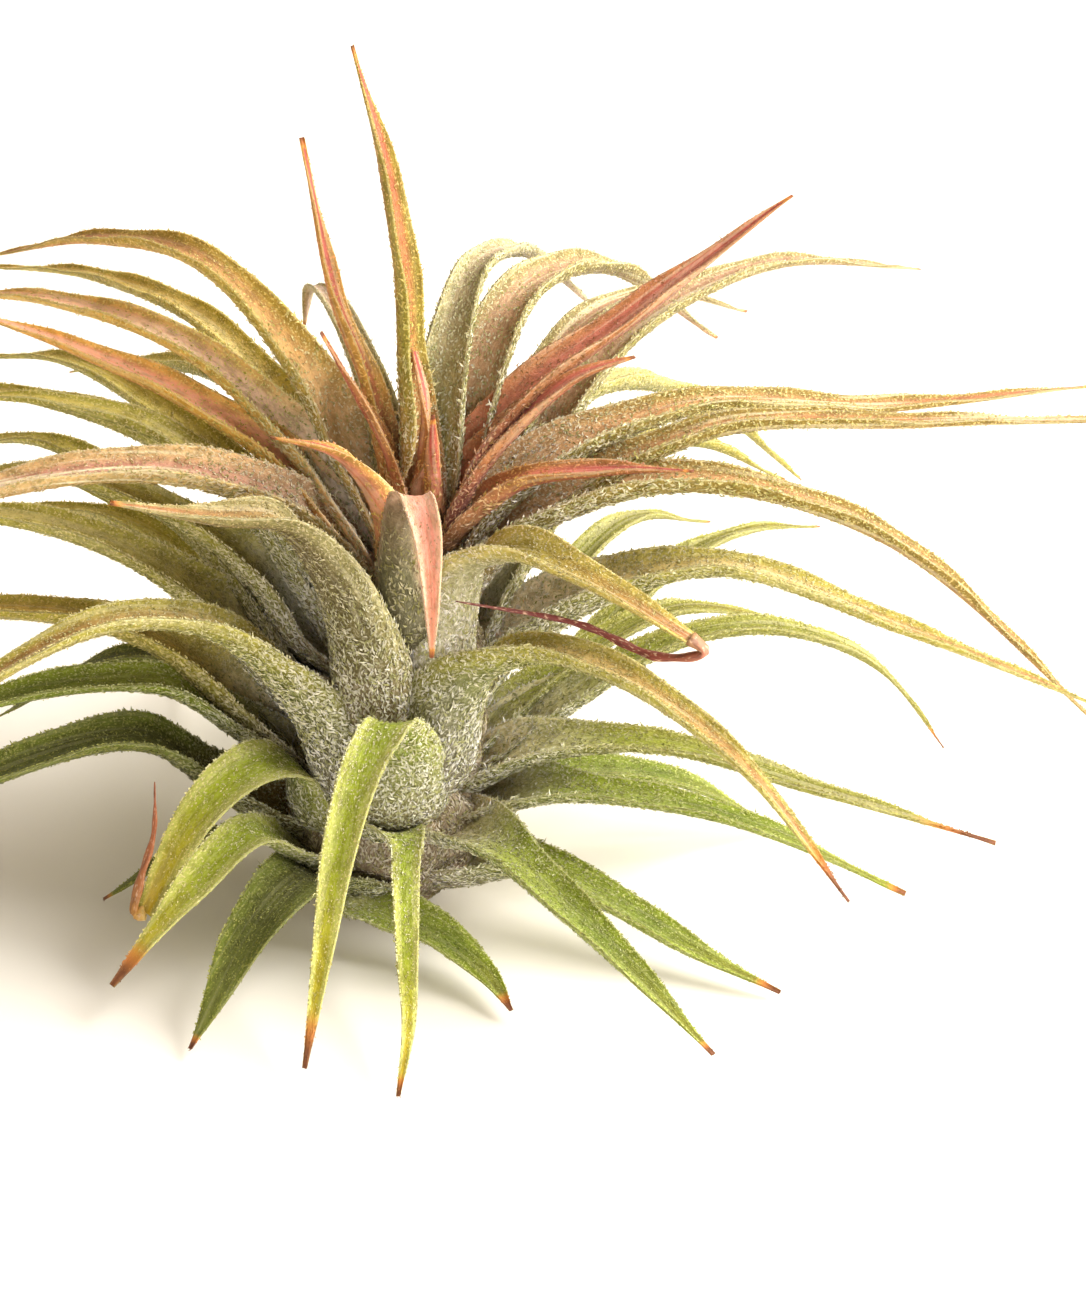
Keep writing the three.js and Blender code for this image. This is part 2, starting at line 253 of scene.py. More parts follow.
leaf("lower_leaf_11", "moss", 155, 10, 5.6, 3.8,
     [(8, 12), (17, 17), (27, 17), (42, 6)])
leaf("lower_leaf_12", "meadow", 182, 13, 6.6, 4.6,
     [(8, 12), (14, 17), (21, 21.5), (34, 20.5), (50, 14)])
leaf("lower_leaf_13", "moss", 190, 8, 7, 5.6,
     [(8, 8), (15, 12.5), (22, 18.3), (34, 16.5), (50, 6.6)])
leaf("lower_leaf_14", "moss", 188, 4, 6.4, 3.4,
     [(8, 6), (14, 7), (20, 5), (26, 1)])
leaf("lower_leaf_15", "bright", 215, 9, 7.6, 5.4,
     [(9, 11), (10, 16), (14, 18), (20, 15.5), (26.3, 7)],
     dead=[(26.3, 7), (27, 6.8, -0.6), (26, 9.6, -1.1), (24.2, 13.6, -1.5), (23.7, 18.8, -1.7)],
     cup=0.7, broad=0.82, roll=-18)
leaf("lower_leaf_16", "bright", 222, 6, 8.4, 4.8,
     [(8, 7), (12, 10), (16, 13), (23, 10), (32, 4)],
     dry=3.4, cup=0.8, broad=0.72, roll=-15)
leaf("lower_leaf_17", "moss", 238, 3, 9, 7,
     [(8, 6), (14, 9.2), (21, 8), (31, 1.2)], dry=1.0, cup=0.7)
leaf("lower_leaf_18", "bright", -88, 8, 6.4, 2.6,
     [(8, 11, -1), (12, 13, 1), (16, 12, 1), (23, 8, 1), (29, 5, 1), (35, 2)], dry=1.5, cup=0.7)
print(len(leaves), "lower leaves")

# %% [markdown]
# Round the foot of the plant sit short brown sheaths whose blades have gone long ago. They close
# the ground between the lowest leaves, so a ring of them is laid by a rule, with every second one
# a millimetre higher. Two more cover the stem higher up on the right, where leaves stand apart.

# %% The old sheaths
OLD_SHEATH_TURNS = (-168, -134, -104, -74, -40, 0, 45, 95, 145)
OLD_SHEATH_FOOT = 2.4
for number, turn in enumerate(OLD_SHEATH_TURNS):
    raised = number % 2
    leaf("old_sheaths", "husk", turn, OLD_SHEATH_FOOT + raised, 8.6, 8.2,
         [(5.4, 4.5), (7.4, 7.3), (7.9, 10.2), (6.4 + 0.5 * raised, 12.4)], dry=0.3)
leaf("old_sheaths", "husk", 12, 10, 8.6, 8.2,
     [(5.6, 12.2), (7.2, 15.2), (7.2, 18.2), (6, 20.4)], dry=0.3)
leaf("old_sheaths", "husk", -12, 17, 7.6, 7.2,
     [(5, 19), (6.2, 22), (6.2, 25), (5.4, 27)], dry=0.3)
print(len(leaves), "leaves with the old sheaths")

# %% [markdown]
# The middle leaves make the body of the rosette. Their wide grey sheaths lie over each other like
# tiles, and the blades arch out level and droop at the end.

# %% The middle leaves
leaf("middle_leaf_01", "bright", -94, 11, 7.6, 4,
     [(9, 13, 1), (11, 21, 2), (13, 25, 1), (16, 23, -1), (21, 16, -3), (26, 9, -4), (32, 2, -5)],
     dry=3.6, cup=0.7)
leaf("middle_leaf_02", "honey", -35, 14, 7.6, 3.6,
     [(7, 16, -5), (8, 22, -4), (10, 27, -2), (16, 30), (26, 30), (37, 25.5), (47.5, 16)], dry=4.5)
leaf("middle_leaf_03", "honey", -2, 20, 7, 2.9,
     [(8, 24), (16, 30), (28, 33), (44, 27), (64, 18)])
leaf("middle_leaf_04", "olive", 40, 18, 6.4, 3.6,
     [(8, 24), (14, 30), (24, 35), (34, 33), (46, 24)])
leaf("middle_leaf_05", "olive", 54, 22, 6.4, 3.4,
     [(8, 29), (15, 34), (26, 38), (44, 30), (64, 11)])
leaf("middle_leaf_06", "olive", 125, 22, 6.4, 3.2,
     [(8, 29), (16, 35), (28, 38), (44, 33), (59, 25)])
leaf("middle_leaf_07", "olive", 135, 18, 6.4, 3.6,
     [(9, 25), (17, 31), (28, 35), (44, 36), (58, 31)])
leaf("middle_leaf_08", "olive", 148, 19, 6.4, 3.4,
     [(9, 27), (17, 35), (30, 38), (44, 37), (56, 33)])
leaf("middle_leaf_09", "lime", 136, 13, 6, 3,
     [(9, 14), (18, 18), (30, 24), (44, 24)])
leaf("middle_leaf_10", "olive", 145, 15, 8.4, 3.6,
     [(9, 16), (20, 23), (30, 27), (48, 23)])
leaf("middle_leaf_11", "olive", 165, 16, 8.4, 4,
     [(9, 19), (17, 26), (27, 31), (40, 32), (54, 26)])
leaf("middle_leaf_12", "umber", 170, 11, 8.4, 4.2,
     [(8, 13), (14, 18), (23, 24), (36, 25), (52, 20)])
leaf("middle_leaf_13", "olive", 150, 21, 8.4, 3.2,
     [(9, 20), (14, 24), (24, 30), (38, 34), (52, 29)])
leaf("middle_leaf_14", "olive", 158, 22, 8.4, 3.6,
     [(9, 24), (14, 29), (24, 33), (36, 34), (48, 30)])
leaf("middle_leaf_15", "honey", 198, 12, 7, 4.2,
     [(6, 15, 6), (8, 21, 5), (12, 27, 2), (18, 31), (28, 32), (48, 22)])
leaf("middle_leaf_16", "sunrise", 200, 18, 7.2, 5.8,
     [(5, 21, 7), (6, 30, 6), (8, 36, 3), (11, 40, 1), (17, 41), (26, 44)])
print(len(leaves), "leaves with the middle ones")

# %% [markdown]
# The upper leaves are the slimmest and wear the warm colours. The outer ones arch out furthest, and
# the inner ones stand nearly upright. The first of them has folded over in front, and the second
# ends in a dead tip that has bent back on the blade.

# %% The upper leaves
leaf("upper_leaf_01", "salmon", -85, 27, 5.2, 3.6,
     [(7, 29, -1.2), (6, 36, -1.5), (6, 41, -1), (8, 43), (10, 41, 0.7), (12, 36, 0.9),
      (13, 30, 0.8)])
leaf("upper_leaf_02", "copper", -25, 20, 5.6, 5.2,
     [(6, 23, -5), (6, 30, -3), (7, 35, -1), (11, 37), (17, 36), (27.5, 32)],
     dead=[(27.5, 32), (29, 31), (25, 30, -1), (18, 32, -2), (8, 34, -6)])
leaf("upper_leaf_03", "red", -2, 34, 4, 2.6,
     [(5, 37), (9, 40), (16, 41), (24, 41)])
leaf("upper_leaf_04", "blush", 4, 28, 5.8, 3.2,
     [(7, 34), (13, 37.5), (24, 39.5), (42, 33), (64, 10)])
leaf("upper_leaf_05", "blush", 14, 27, 5.8, 2.9,
     [(8, 33), (16, 38), (28, 42), (46, 40), (68, 37)])
leaf("upper_leaf_06", "blush", 24, 31, 5.8, 3.0,
     [(7, 36), (13, 39.5), (27, 41.5), (46, 37), (68, 34)])
leaf("upper_leaf_07", "ember", 20, 35, 4.8, 3.2,
     [(4, 39), (8, 43), (14, 47), (20, 48)])
leaf("upper_leaf_08", "ember", 32, 34, 4.8, 3.6,
     [(5, 40), (10, 45), (22, 50), (39, 57)])
leaf("upper_leaf_09", "straw", 44, 28, 5.8, 3,
     [(8, 33), (16, 39), (27, 45), (44, 45.5), (66, 37)])
leaf("upper_leaf_10", "straw", 52, 26, 5.8, 3.2,
     [(7, 32), (14, 39), (24, 45.5), (36, 44), (50, 36)])
leaf("upper_leaf_11", "straw", 59, 31, 5.8, 3.8,
     [(6, 38), (11, 46), (18, 50.5), (32, 47), (54, 29)])
leaf("upper_leaf_12", "pale", 70, 32, 4.6, 2.8,
     [(4, 40), (8, 49), (14, 53.5), (26, 50), (46, 34)])
leaf("upper_leaf_13", "pale", 115, 30, 4.6, 3.2,
     [(5, 39), (11, 46), (18, 49), (23, 48), (25, 43)])
leaf("upper_leaf_14", "umber", 130, 26, 5.2, 2.8,
     [(8, 34), (17, 40), (29, 44), (46, 42), (66, 35)])
leaf("upper_leaf_15", "amber", 140, 33, 5.8, 3.4,
     [(8, 40), (14, 47), (25, 53), (38, 51), (53, 44)])
leaf("upper_leaf_16", "rose_gold", 146, 30, 5.8, 3.4,
     [(7, 35), (14, 41), (25, 46), (40, 46), (55, 42)])
leaf("upper_leaf_17", "coral", 153, 28, 5.8, 3.6,
     [(6, 32), (13, 39), (23, 43), (34, 45), (47, 46)])
leaf("upper_leaf_18", "olive", 160, 25, 5.8, 3.4,
     [(8, 30), (15, 36), (24, 41), (34, 42), (46, 40)])
leaf("upper_leaf_19", "rose", 182, 28, 5.8, 4.4,
     [(7, 35), (14, 40), (24, 42), (37, 40), (56, 32)])
leaf("upper_leaf_20", "rust", 195, 32, 4.4, 3.0,
     [(3, 36, 4), (4, 40, 3), (7, 44, 1), (13, 46)])
leaf("upper_leaf_21", "flame", 104, 36, 4.4, 3.1,
     [(2, 43), (4, 51), (6, 58), (9, 67, 1), (12, 76, 3)], broad=0.82)
leaf("upper_leaf_22", "rust", 137, 35, 3.6, 2.3,
     [(4, 41), (6, 47), (10, 54), (17, 66, -3)])
print(len(leaves), "leaves with the upper ones")

# %% [markdown]
# The youngest leaves are three thin red spikes in the heart. The far side of a rosette is much like
# its near side, so a few plain leaves fill it, and the plant looks whole from behind as well.

# %% The heart and the far side
leaf("heart_leaves", "red", 170, 36, 2.6, 2.2,
     [(2.8, 42), (5.5, 47.3), (8.8, 53.2)])
leaf("heart_leaves", "red", 80, 36, 2.2, 2,
     [(1, 41), (2, 46), (5, 51, 2)])
leaf("heart_leaves", "red", -10, 36, 2.2, 1.6,
     [(1, 40), (1, 46)])
leaf("back_low_leaves", "lime", 78, 5, 4, 3.6,
     [(8, 8), (18, 11), (30, 9), (44, 1)])
leaf("back_low_leaves", "lime", 100, 6, 4, 3.6,
     [(8, 9), (18, 12), (30, 10), (42, 1)])
leaf("back_low_leaves", "lime", 122, 5, 4, 3.6,
     [(8, 8), (18, 11), (28, 8), (40, 1)])
leaf("back_middle_leaves", "olive", 86, 20, 4.6, 3.6,
     [(8, 24), (16, 28), (28, 26), (42, 16)])
leaf("back_middle_leaves", "olive", 106, 18, 4.6, 3.6,
     [(8, 23), (17, 28), (30, 27), (46, 18)])
print(len(leaves), "leaves in", len({one["node"] for one in leaves}), "nodes")

# %% [markdown]
# ## The line of a leaf
#
# The list says reach, height and aside, so each point has to be placed in space first. The real
# stem leans a little, to the right and away, and every leaf is counted from that leaning middle.
# The stem's own form is a height and a radius at four levels.

# %% Points in space
STEM_LEVELS = [(0, 3.2), (3, 3.6), (26, 3.4), (37, 1.8)]
LEAN = np.array([0.105, 0.176])


def axis_at(height):
    """The middle of the stem at a height."""
    height = np.asarray(height, float)
    return np.stack([LEAN[0] * height, LEAN[1] * height, height], -1)


def placed(one, points):
    """Points given as reach, height and aside, in the plant's own frame."""
    points = np.array([(p[0], p[1], p[2] if len(p) > 2 else 0) for p in points], float)
    out = np.array([math.cos(one["turn"]), math.sin(one["turn"]), 0])
    side = np.array([-out[1], out[0], 0])
    made = axis_at(one["foot"]) + points[:, :1] * out + points[:, 2:] * side
    made[:, 2] = points[:, 1]
    return made


stem_lean = float(np.linalg.norm(LEAN)) * STEM_LEVELS[-1][0]
print("the stem's top stands", round(stem_lean, 1), "mm to the side of its foot")

# %% [markdown]
# A few points aren't a leaf yet. A smooth curve has to pass through all of them without swinging
# wide at the tight folds, which the centripetal kind does best. It starts a little inside the stem,
# so that no gap shows where the leaf is attached.

# %% A smooth line
CURVE_STEPS = 30
SMALLEST_GAP = 1e-6
FOOT_SINK = 0.6
FOOT_DROP = 1
FOOT_ASIDE = 0.3


def smooth_line(points):
    """A dense centripetal Catmull-Rom curve through the points."""
    ends = np.vstack([2 * points[0] - points[1], points, 2 * points[-1] - points[-2]])
    share = np.linspace(0, 1, CURVE_STEPS, endpoint=False)[:, None]
    made = []
    for a, b, c, d in zip(ends, ends[1:], ends[2:], ends[3:]):
        gaps = [max(np.linalg.norm(q - p) ** 0.5, SMALLEST_GAP)
                for p, q in ((a, b), (b, c), (c, d))]
        start = (b - a) / gaps[0] - (c - a) / (gaps[0] + gaps[1]) + (c - b) / gaps[1]
        end = (c - b) / gaps[1] - (d - b) / (gaps[1] + gaps[2]) + (d - c) / gaps[2]
        start, end = start * gaps[1], end * gaps[1]
        made.append(b + start * share + (3 * (c - b) - 2 * start - end) * share ** 2
                    + (2 * (b - c) + start + end) * share ** 3)
    return np.vstack(made + [points[-1:]])


def stations_on(line, count):
    """Evenly spaced points of a dense line, their directions and the line's length."""
    steps = np.linalg.norm(np.diff(line, axis=0), axis=1)
    reached = np.concatenate([[0], np.cumsum(steps)])
    share = np.linspace(0, 1, count)
    spots = np.stack([np.interp(share * reached[-1], reached, line[:, k]) for k in range(3)], 1)
    ahead = np.gradient(spots, axis=0)
    return spots, ahead / np.linalg.norm(ahead, axis=1)[:, None], reached[-1]


def route_of(one):
    """The whole line of a leaf, from inside the stem to its tip."""
    at_stem = np.interp(one["foot"], *zip(*STEM_LEVELS)) - FOOT_SINK
    first = one["route"][0]
    aside = FOOT_ASIDE * (first[2] if len(first) > 2 else 0)
    start = (at_stem, one["foot"] - FOOT_DROP, aside)
    return smooth_line(placed(one, [start] + one["route"]))


def length_of(one):
    """How long a leaf is along its line."""
    return np.linalg.norm(np.diff(route_of(one), axis=0), axis=1).sum()


lengths = [length_of(one) for one in leaves]
print("leaves are", round(min(lengths)), "to", round(max(lengths)), "mm long")

# %% [markdown]
# Along its line, each leaf keeps one face towards the stem. A crossways direction is worked out at
# every step, square to the way ahead and nearly level, and the inward one follows from the two.

# %% Directions along a leaf
def crossways(spots, ahead):
    """The sideways and the inward direction of a leaf at each station."""
    radial = spots - axis_at(spots[:, 2])
    side = np.stack([-radial[:, 1], radial[:, 0], np.zeros(len(spots))], 1)
    side = side - (side * ahead).sum(1)[:, None] * ahead
    side = side / np.linalg.norm(side, axis=1)[:, None]
    return side, np.cross(ahead, side)


def rolled(side, inward, angles):
    """The same two directions, turned about the leaf's line."""
    c, s = np.cos(angles)[:, None], np.sin(angles)[:, None]
    return side * c + inward * s, inward * c - side * s


first_steps = stations_on(route_of(leaves[0]), len(leaves[0]["route"]))[1]
print("the first leaf leaves the stem towards", np.round(first_steps[0], 2))

# %% [markdown]
# ## The section of a leaf
#
# Cut across, the real leaf is a channel: thick and fleshy in the middle, thin at both edges, open
# towards the sky. The sheath is broad and clasps the leaves inside it, and the blade is nearly a
# half tube until it flattens into a fine point. The low leaves are flatter and taper sooner.
#
# Each group of leaves therefore has a form. "sheath" widens the listed sheath, "reach" is how far
# out the blade begins, "taper" is the share of its width that it keeps two thirds of the way out,
# and "bend" is how far the sides are turned up at five places. The old sheaths have a blunt tip,
# and wear only the first part of a leaf's colours, which is their span.

# %% Forms
BEND_AT = (0.0, 0.16, 0.36, 0.7, 1.0)
FORMS = {"lower": dict(sheath=1.22, reach=0.34, taper=0.68, bend=(64, 68, 62, 60, 25)),
         "old_sheaths": dict(sheath=1.0, reach=0.5, taper=0.9, bend=(70, 74, 70, 66, 50), tip=4.5,
                             span=0.34),
         "middle": dict(sheath=1.22, reach=0.40, taper=0.7, bend=(70, 82, 86, 80, 40)),
         "upper": dict(sheath=1.15, reach=0.38, taper=0.7, bend=(66, 80, 86, 80, 40)),
         "heart_leaves": dict(sheath=1.1, reach=0.34, taper=0.72, bend=(60, 62, 66, 60, 40)),
         "back_low_leaves": dict(sheath=1.2, reach=0.34, taper=0.66, bend=(60, 62, 60, 56, 25)),
         "back_middle_leaves": dict(sheath=1.2, reach=0.38, taper=0.76, bend=(60, 66, 80, 76, 36))}
SHEATH_UP_TO = 0.15
TAPER_AT = 0.66
FOOT_WIDTH = 0.9
TIP_WIDTH = 0.32
DEAD_END_WIDTH = 1.8
CORNERS = (-0.04, -0.02, 0, 0.02, 0.04)


def group_of(node):
    """The form that a node takes: "lower" for "lower_leaf_03", and its own name for the rest."""
    return node.split("_leaf_")[0]


def eased(share, knots, values):
    """Values between knots, with the corners at the knots rounded off."""
    return sum(np.interp(share + d, knots, values) for d in CORNERS) / len(CORNERS)


def widths_of(one, form, share):
    """How wide a leaf is at each station."""
    sheath = one["sheath"] * form["sheath"]
    blade = one["blade"]
    taper = one["broad"] or form["taper"]
    end = DEAD_END_WIDTH if one["dead"] else form.get("tip", TIP_WIDTH)
    knots = (0.0, SHEATH_UP_TO, form["reach"], TAPER_AT, 1.0)
    return eased(share, knots, (sheath * FOOT_WIDTH, sheath, blade, blade * taper, end))


widest = max(one["sheath"] * FORMS[group_of(one["node"])]["sheath"] for one in leaves)
print("the widest sheath is", round(widest, 1), "mm")

# %% [markdown]
# A closed ring of points round that channel, repeated along the line, gives the skin. Where a leaf
# is folded over, the channel can only flatten, so the tighter the bend, the flatter it is. A slow
# sway and a slight wave of the edges, drawn anew for each leaf, keep the leaves from looking cast.

# %% Points of a skin
COLUMNS = 10
RING = 2 * COLUMNS
STATIONS = 64
THICKNESS = 0.85
THICK_AT = (0, 0.35, 0.8, 1)
THICK_SHARE = (0.7, 1, 0.8, 0.25)
THICKEST_FOR_WIDTH = 0.34
EDGE_THICKNESS = 0.2
EDGE_SHARE = 0.6
EDGE_WAVE = 0.14
EDGE_WAVE_PITCH = 0.55
SWAY = 0.07
SWAY_PITCH = 5
ROLL_BETWEEN = (0.2, 0.5)
PHASES = (0, 6)
FOLDS_FROM = (0.2, 0.3)
EASY_BEND = 0.7
FOLD_STIFFNESS = 0.45
FLATTEST = 5
SMOOTHED_OVER = 7
DRY_TIP_BLUR = 1.5
across = np.sin(np.linspace(-90, 90, COLUMNS) * math.pi / 180)
ring_across = np.concatenate([across, across[::-1]])
ring_side = np.repeat([0.0, 1.0], COLUMNS)


def flattened(bend, width, ahead, length, share):
    """The opening of the channel, made flat where the leaf is folded."""
    turning = np.linalg.norm(np.gradient(ahead, axis=0), axis=1) * (STATIONS - 1) / length
    turning = np.pad(turning, SMOOTHED_OVER // 2, mode="edge")
    turning = np.convolve(turning, np.ones(SMOOTHED_OVER) / SMOOTHED_OVER, "valid")
    excess = np.maximum(turning * width - EASY_BEND, 0) * np.interp(share, FOLDS_FROM, (0, 1))
    return FLATTEST + (bend - FLATTEST) / (1 + (excess / FOLD_STIFFNESS) ** 2)


def leaf_sheet(one, seed):
    """Every point of a leaf's skin as stations by ring, and what the colours and hairs need."""
    draw = np.random.default_rng(seed)
    form = FORMS[group_of(one["node"])]
    spots, ahead, length = stations_on(route_of(one), STATIONS)
    side, inward = crossways(spots, ahead)
    share = np.linspace(0, 1, STATIONS)
    roll = one["roll"] * np.interp(share, ROLL_BETWEEN, (0, 1))
    roll = roll + SWAY * np.sin(share * SWAY_PITCH + draw.uniform(*PHASES))
    side, inward = rolled(side, inward, roll)
    width = widths_of(one, form, share)
    bend = eased(share, BEND_AT, form["bend"]) * one["cup"]
    bend = flattened(bend, width, ahead, length, share)
    bend = np.radians(bend)[:, None]
    width = width[:, None]
    wave = EDGE_WAVE * np.sin(share * length * EDGE_WAVE_PITCH + draw.uniform(*PHASES, (2, 1)))
    u, s = np.meshgrid(ring_across, share)
    radius = width / 2 / np.sin(bend)
    depth = radius * (1 - np.cos(bend))
    thick = np.interp(s, THICK_AT, THICK_SHARE) * THICKNESS
    thick = np.minimum(thick, width * THICKEST_FOR_WIDTH)
    edge = np.minimum(EDGE_THICKNESS, thick * EDGE_SHARE)
    half = (edge + (thick - edge) * (1 - u ** 2)) / 2 * np.where(ring_side > 0.5, -1, 1)
    lift = radius * (1 - np.cos(bend * u)) - depth / 2
    lift = lift + u ** 4 * np.where(u > 0, wave[0][:, None], wave[1][:, None])
    x = radius * np.sin(bend * u) - np.sin(bend * u) * half
    y = lift + np.cos(bend * u) * half
    skin = spots[:, None] + side[:, None] * x[..., None] + inward[:, None] * y[..., None]
    edgewise = (side[:, None] * np.cos(bend * u)[..., None]
                + inward[:, None] * np.sin(bend * u)[..., None]) * np.sign(u)[..., None]
    driest = 0 if one["dead"] else 1
    dryness = np.clip(DRY_TIP_BLUR - (1 - share) * length / one["dry"], 0, driest)
    return dict(skin=skin, ahead=ahead, inward=inward, edgewise=edgewise, share=share,
                length=length, width=width[:, 0], dryness=dryness, draw=draw,
                span=form.get("span", 1.0))


trial = leaf_sheet(leaves[0], 0)
print("one skin has", STATIONS * RING, "points and is", round(trial["length"], 1), "mm long")

# %% [markdown]
# The mesh comes from a grid whose points are laid on the skin. Its two long sides are welded
# together, which leaves only the ends to close. Every point also carries the numbers that the
# materials read: how far along the leaf it lies, how near an edge, on which side, and so on. Two
# shifts give each side of a leaf, and each leaf, a patch of its own in the noises.

# %% Skin mesh
VALUE_NAMES = ("along", "across", "side", "felt", "skin_x", "skin_y", "dryness")
WELD_METRES = 1e-7
SIDE_SHIFT = 9
LEAF_SHIFT = 23.7


def closed(bm):
    """Closes the ends, turns the faces out, and reloads the bmesh, so its points are in order."""
    rims = [e for e in bm.edges if e.is_boundary]
    bmesh.ops.holes_fill(bm, edges=rims, sides=0)
    bmesh.ops.recalc_face_normals(bm, faces=bm.faces)
    for face in bm.faces:
        face.smooth = True
    stored = bpy.data.meshes.new("stored")
    bm.to_mesh(stored)
    bm.clear()
    bm.from_mesh(stored)
    bpy.data.meshes.remove(stored)


def ring_skin(bm, points, values):
    """Wraps a grid round the points, welds its seam, and stores values on it."""
    rows, ring = points.shape[:2]
    grid = bmesh.ops.create_grid(bm, x_segments=ring, y_segments=rows - 1, size=1)["verts"]
    layers = [bm.verts.layers.float[name] for name in VALUE_NAMES]
    for index, vert in enumerate(grid):
        row, column = divmod(index, ring + 1)
        vert.co = points[row, column % ring] * MM
        for layer, table in zip(layers, values):
            vert[layer] = table[row, column % ring]
    bmesh.ops.remove_doubles(bm, verts=grid, dist=WELD_METRES)


def new_leaf_mesh():
    """An empty bmesh whose points can carry the values."""
    bm = bmesh.new()
    for name in VALUE_NAMES:
        bm.verts.layers.float.new(name)
    return bm


def sheet_values(sheet, seed):
    """The numbers that the materials read, as stations by ring."""
    shape = sheet["skin"].shape[:2]
    along = np.broadcast_to(sheet["share"][:, None] * sheet["span"], shape)
    u = np.broadcast_to(ring_across, shape)
    side = np.broadcast_to(ring_side, shape)
    skin_x = u * sheet["width"][:, None] / 2 + side * SIDE_SHIFT + seed * LEAF_SHIFT
    skin_y = np.broadcast_to(sheet["share"][:, None] * sheet["length"], shape)
    dryness = np.broadcast_to(sheet["dryness"][:, None], shape)
    return along, u, side, np.zeros(shape), skin_x, skin_y, dryness


print("each point carries", len(VALUE_NAMES), "values")

# %% [markdown]
# ## Felt
#
# What makes the plant look silver is a felt of tiny scales, each drawn out into a flat hair that
# lies along the leaf. They are thick on the outside of the sheath, where they swirl like fur, and
# get shorter and thinner towards the tip. Both edges of the blade carry a short fringe of them.
# Hair systems don't survive an export, so every hair is a real flat sliver of four corners, rooted
# in the skin at a place that a seeded draw picks, with more of them where the felt is thick.

# %% Roots of hairs
SAMPLE_STATION = 10
TINY = 1e-9


def turned(vectors, about, angles):
    """Vectors turned about unit axes."""
    c, s = np.cos(angles)[:, None], np.sin(angles)[:, None]
    dots = (vectors * about).sum(1)[:, None]
    return vectors * c + np.cross(about, vectors) * s + about * dots * (1 - c)


def unit(vectors):
    """The same directions, each one long."""
    return vectors / np.maximum(np.linalg.norm(vectors, axis=-1, keepdims=True), TINY)


def hair_roots(sheet, values, density, draw):
    """Random places on the skin, more where density is high, with the surface's directions."""
    skin = sheet["skin"]
    after = np.roll(skin, -1, axis=1)
    lengthwise = skin[1:] - skin[:-1]
    ringwise = (after - skin)[:-1]
    normal = np.cross(ringwise, lengthwise)
    area = np.linalg.norm(normal, axis=-1)
    middle = COLUMNS + COLUMNS // 2
    if (normal[SAMPLE_STATION, middle] * sheet["inward"][SAMPLE_STATION]).sum() > 0:
        normal = -normal
    weight = area * density[:-1]
    count = int(weight.sum())
    picked = draw.choice(weight.size, count, p=(weight / weight.sum()).ravel())
    row, column = np.unravel_index(picked, weight.shape)
    a, b = draw.random((2, count))
    root = (skin[row, column] + a[:, None] * lengthwise[row, column]
            + b[:, None] * ringwise[row, column])
    shown = [table[row, column] for table in values]
    return root, unit(normal[row, column]), unit(lengthwise[row, column]), shown


trial_values = sheet_values(trial, 0)
sparse = np.ones(trial["skin"].shape[:2])
trial_roots = hair_roots(trial, trial_values, sparse, np.random.default_rng(0))[0]
print("one hair to a square millimetre would give the first leaf", len(trial_roots))

# %% [markdown]
# A real hair is a flat scale that stands off the skin at its root and bends down to a tip. Four
# corners are enough for that: one just under the skin, two shoulders and the tip, bent aside.

# %% Slivers
HAIR_WIDTH = 0.21
SHOULDER_AT = 0.45
SHOULDER_RISE = 0.1
ROOT_DEPTH = 0.03


def add_hairs(bm, root, normal, pointing, length, width, lift, curl, twist):
    """A flat sliver for each root: a root corner, two shoulders and a tip bent aside."""
    flat = np.cross(normal, pointing)
    rise = normal * (SHOULDER_RISE + lift[:, None] * 0.5)
    shoulder = root + (pointing * SHOULDER_AT + rise) * length[:, None]
    tip = root + (pointing + flat * curl[:, None] + normal * lift[:, None]) * length[:, None]
    spread = (flat * np.cos(twist)[:, None] + normal * np.sin(twist)[:, None]) * width[:, None] / 2
    under = root - normal * ROOT_DEPTH
    corners = np.stack([under, shoulder - spread, tip, shoulder + spread], 1) * MM
    for four in corners.tolist():
        bm.faces.new([bm.verts.new(corner) for corner in four])


print("a hair is about", HAIR_WIDTH, "mm wide")

# %% [markdown]
# The felt is listed at five places from foot to tip, for the outside and the inside of the leaf.
# Its hairs follow the leaf but swirl together in tufts, which slow waves across the plant give, and
# each one strays a little more by a draw of its own.

# %% Felt
FELT_AT = (0.0, 0.2, 0.4, 0.75, 1.0)
OUTER_PER_MM2 = (12, 14, 11, 6, 4)
INNER_PER_MM2 = (5, 9, 9, 8, 5)
OUTER_LENGTH = (0.72, 0.7, 0.56, 0.34, 0.22)
INNER_LENGTH = (0.46, 0.42, 0.32, 0.26, 0.2)
LENGTH_SPREAD = (0.6, 1.25)
WIDTH_SPREAD = (0.7, 1.2)
THINNER_AT = (0, 0.3, 0.5, 1)
THINNER = (1.0, 1.0, 0.6, 0.5)
LIFT_SPREAD = (0.03, 0.22)
SWIRL = 0.6
SWIRL_WAVES = (1.9, 1.6, 1.3)
STRAY = 0.5
CURL = 0.3
TWIST = 0.3


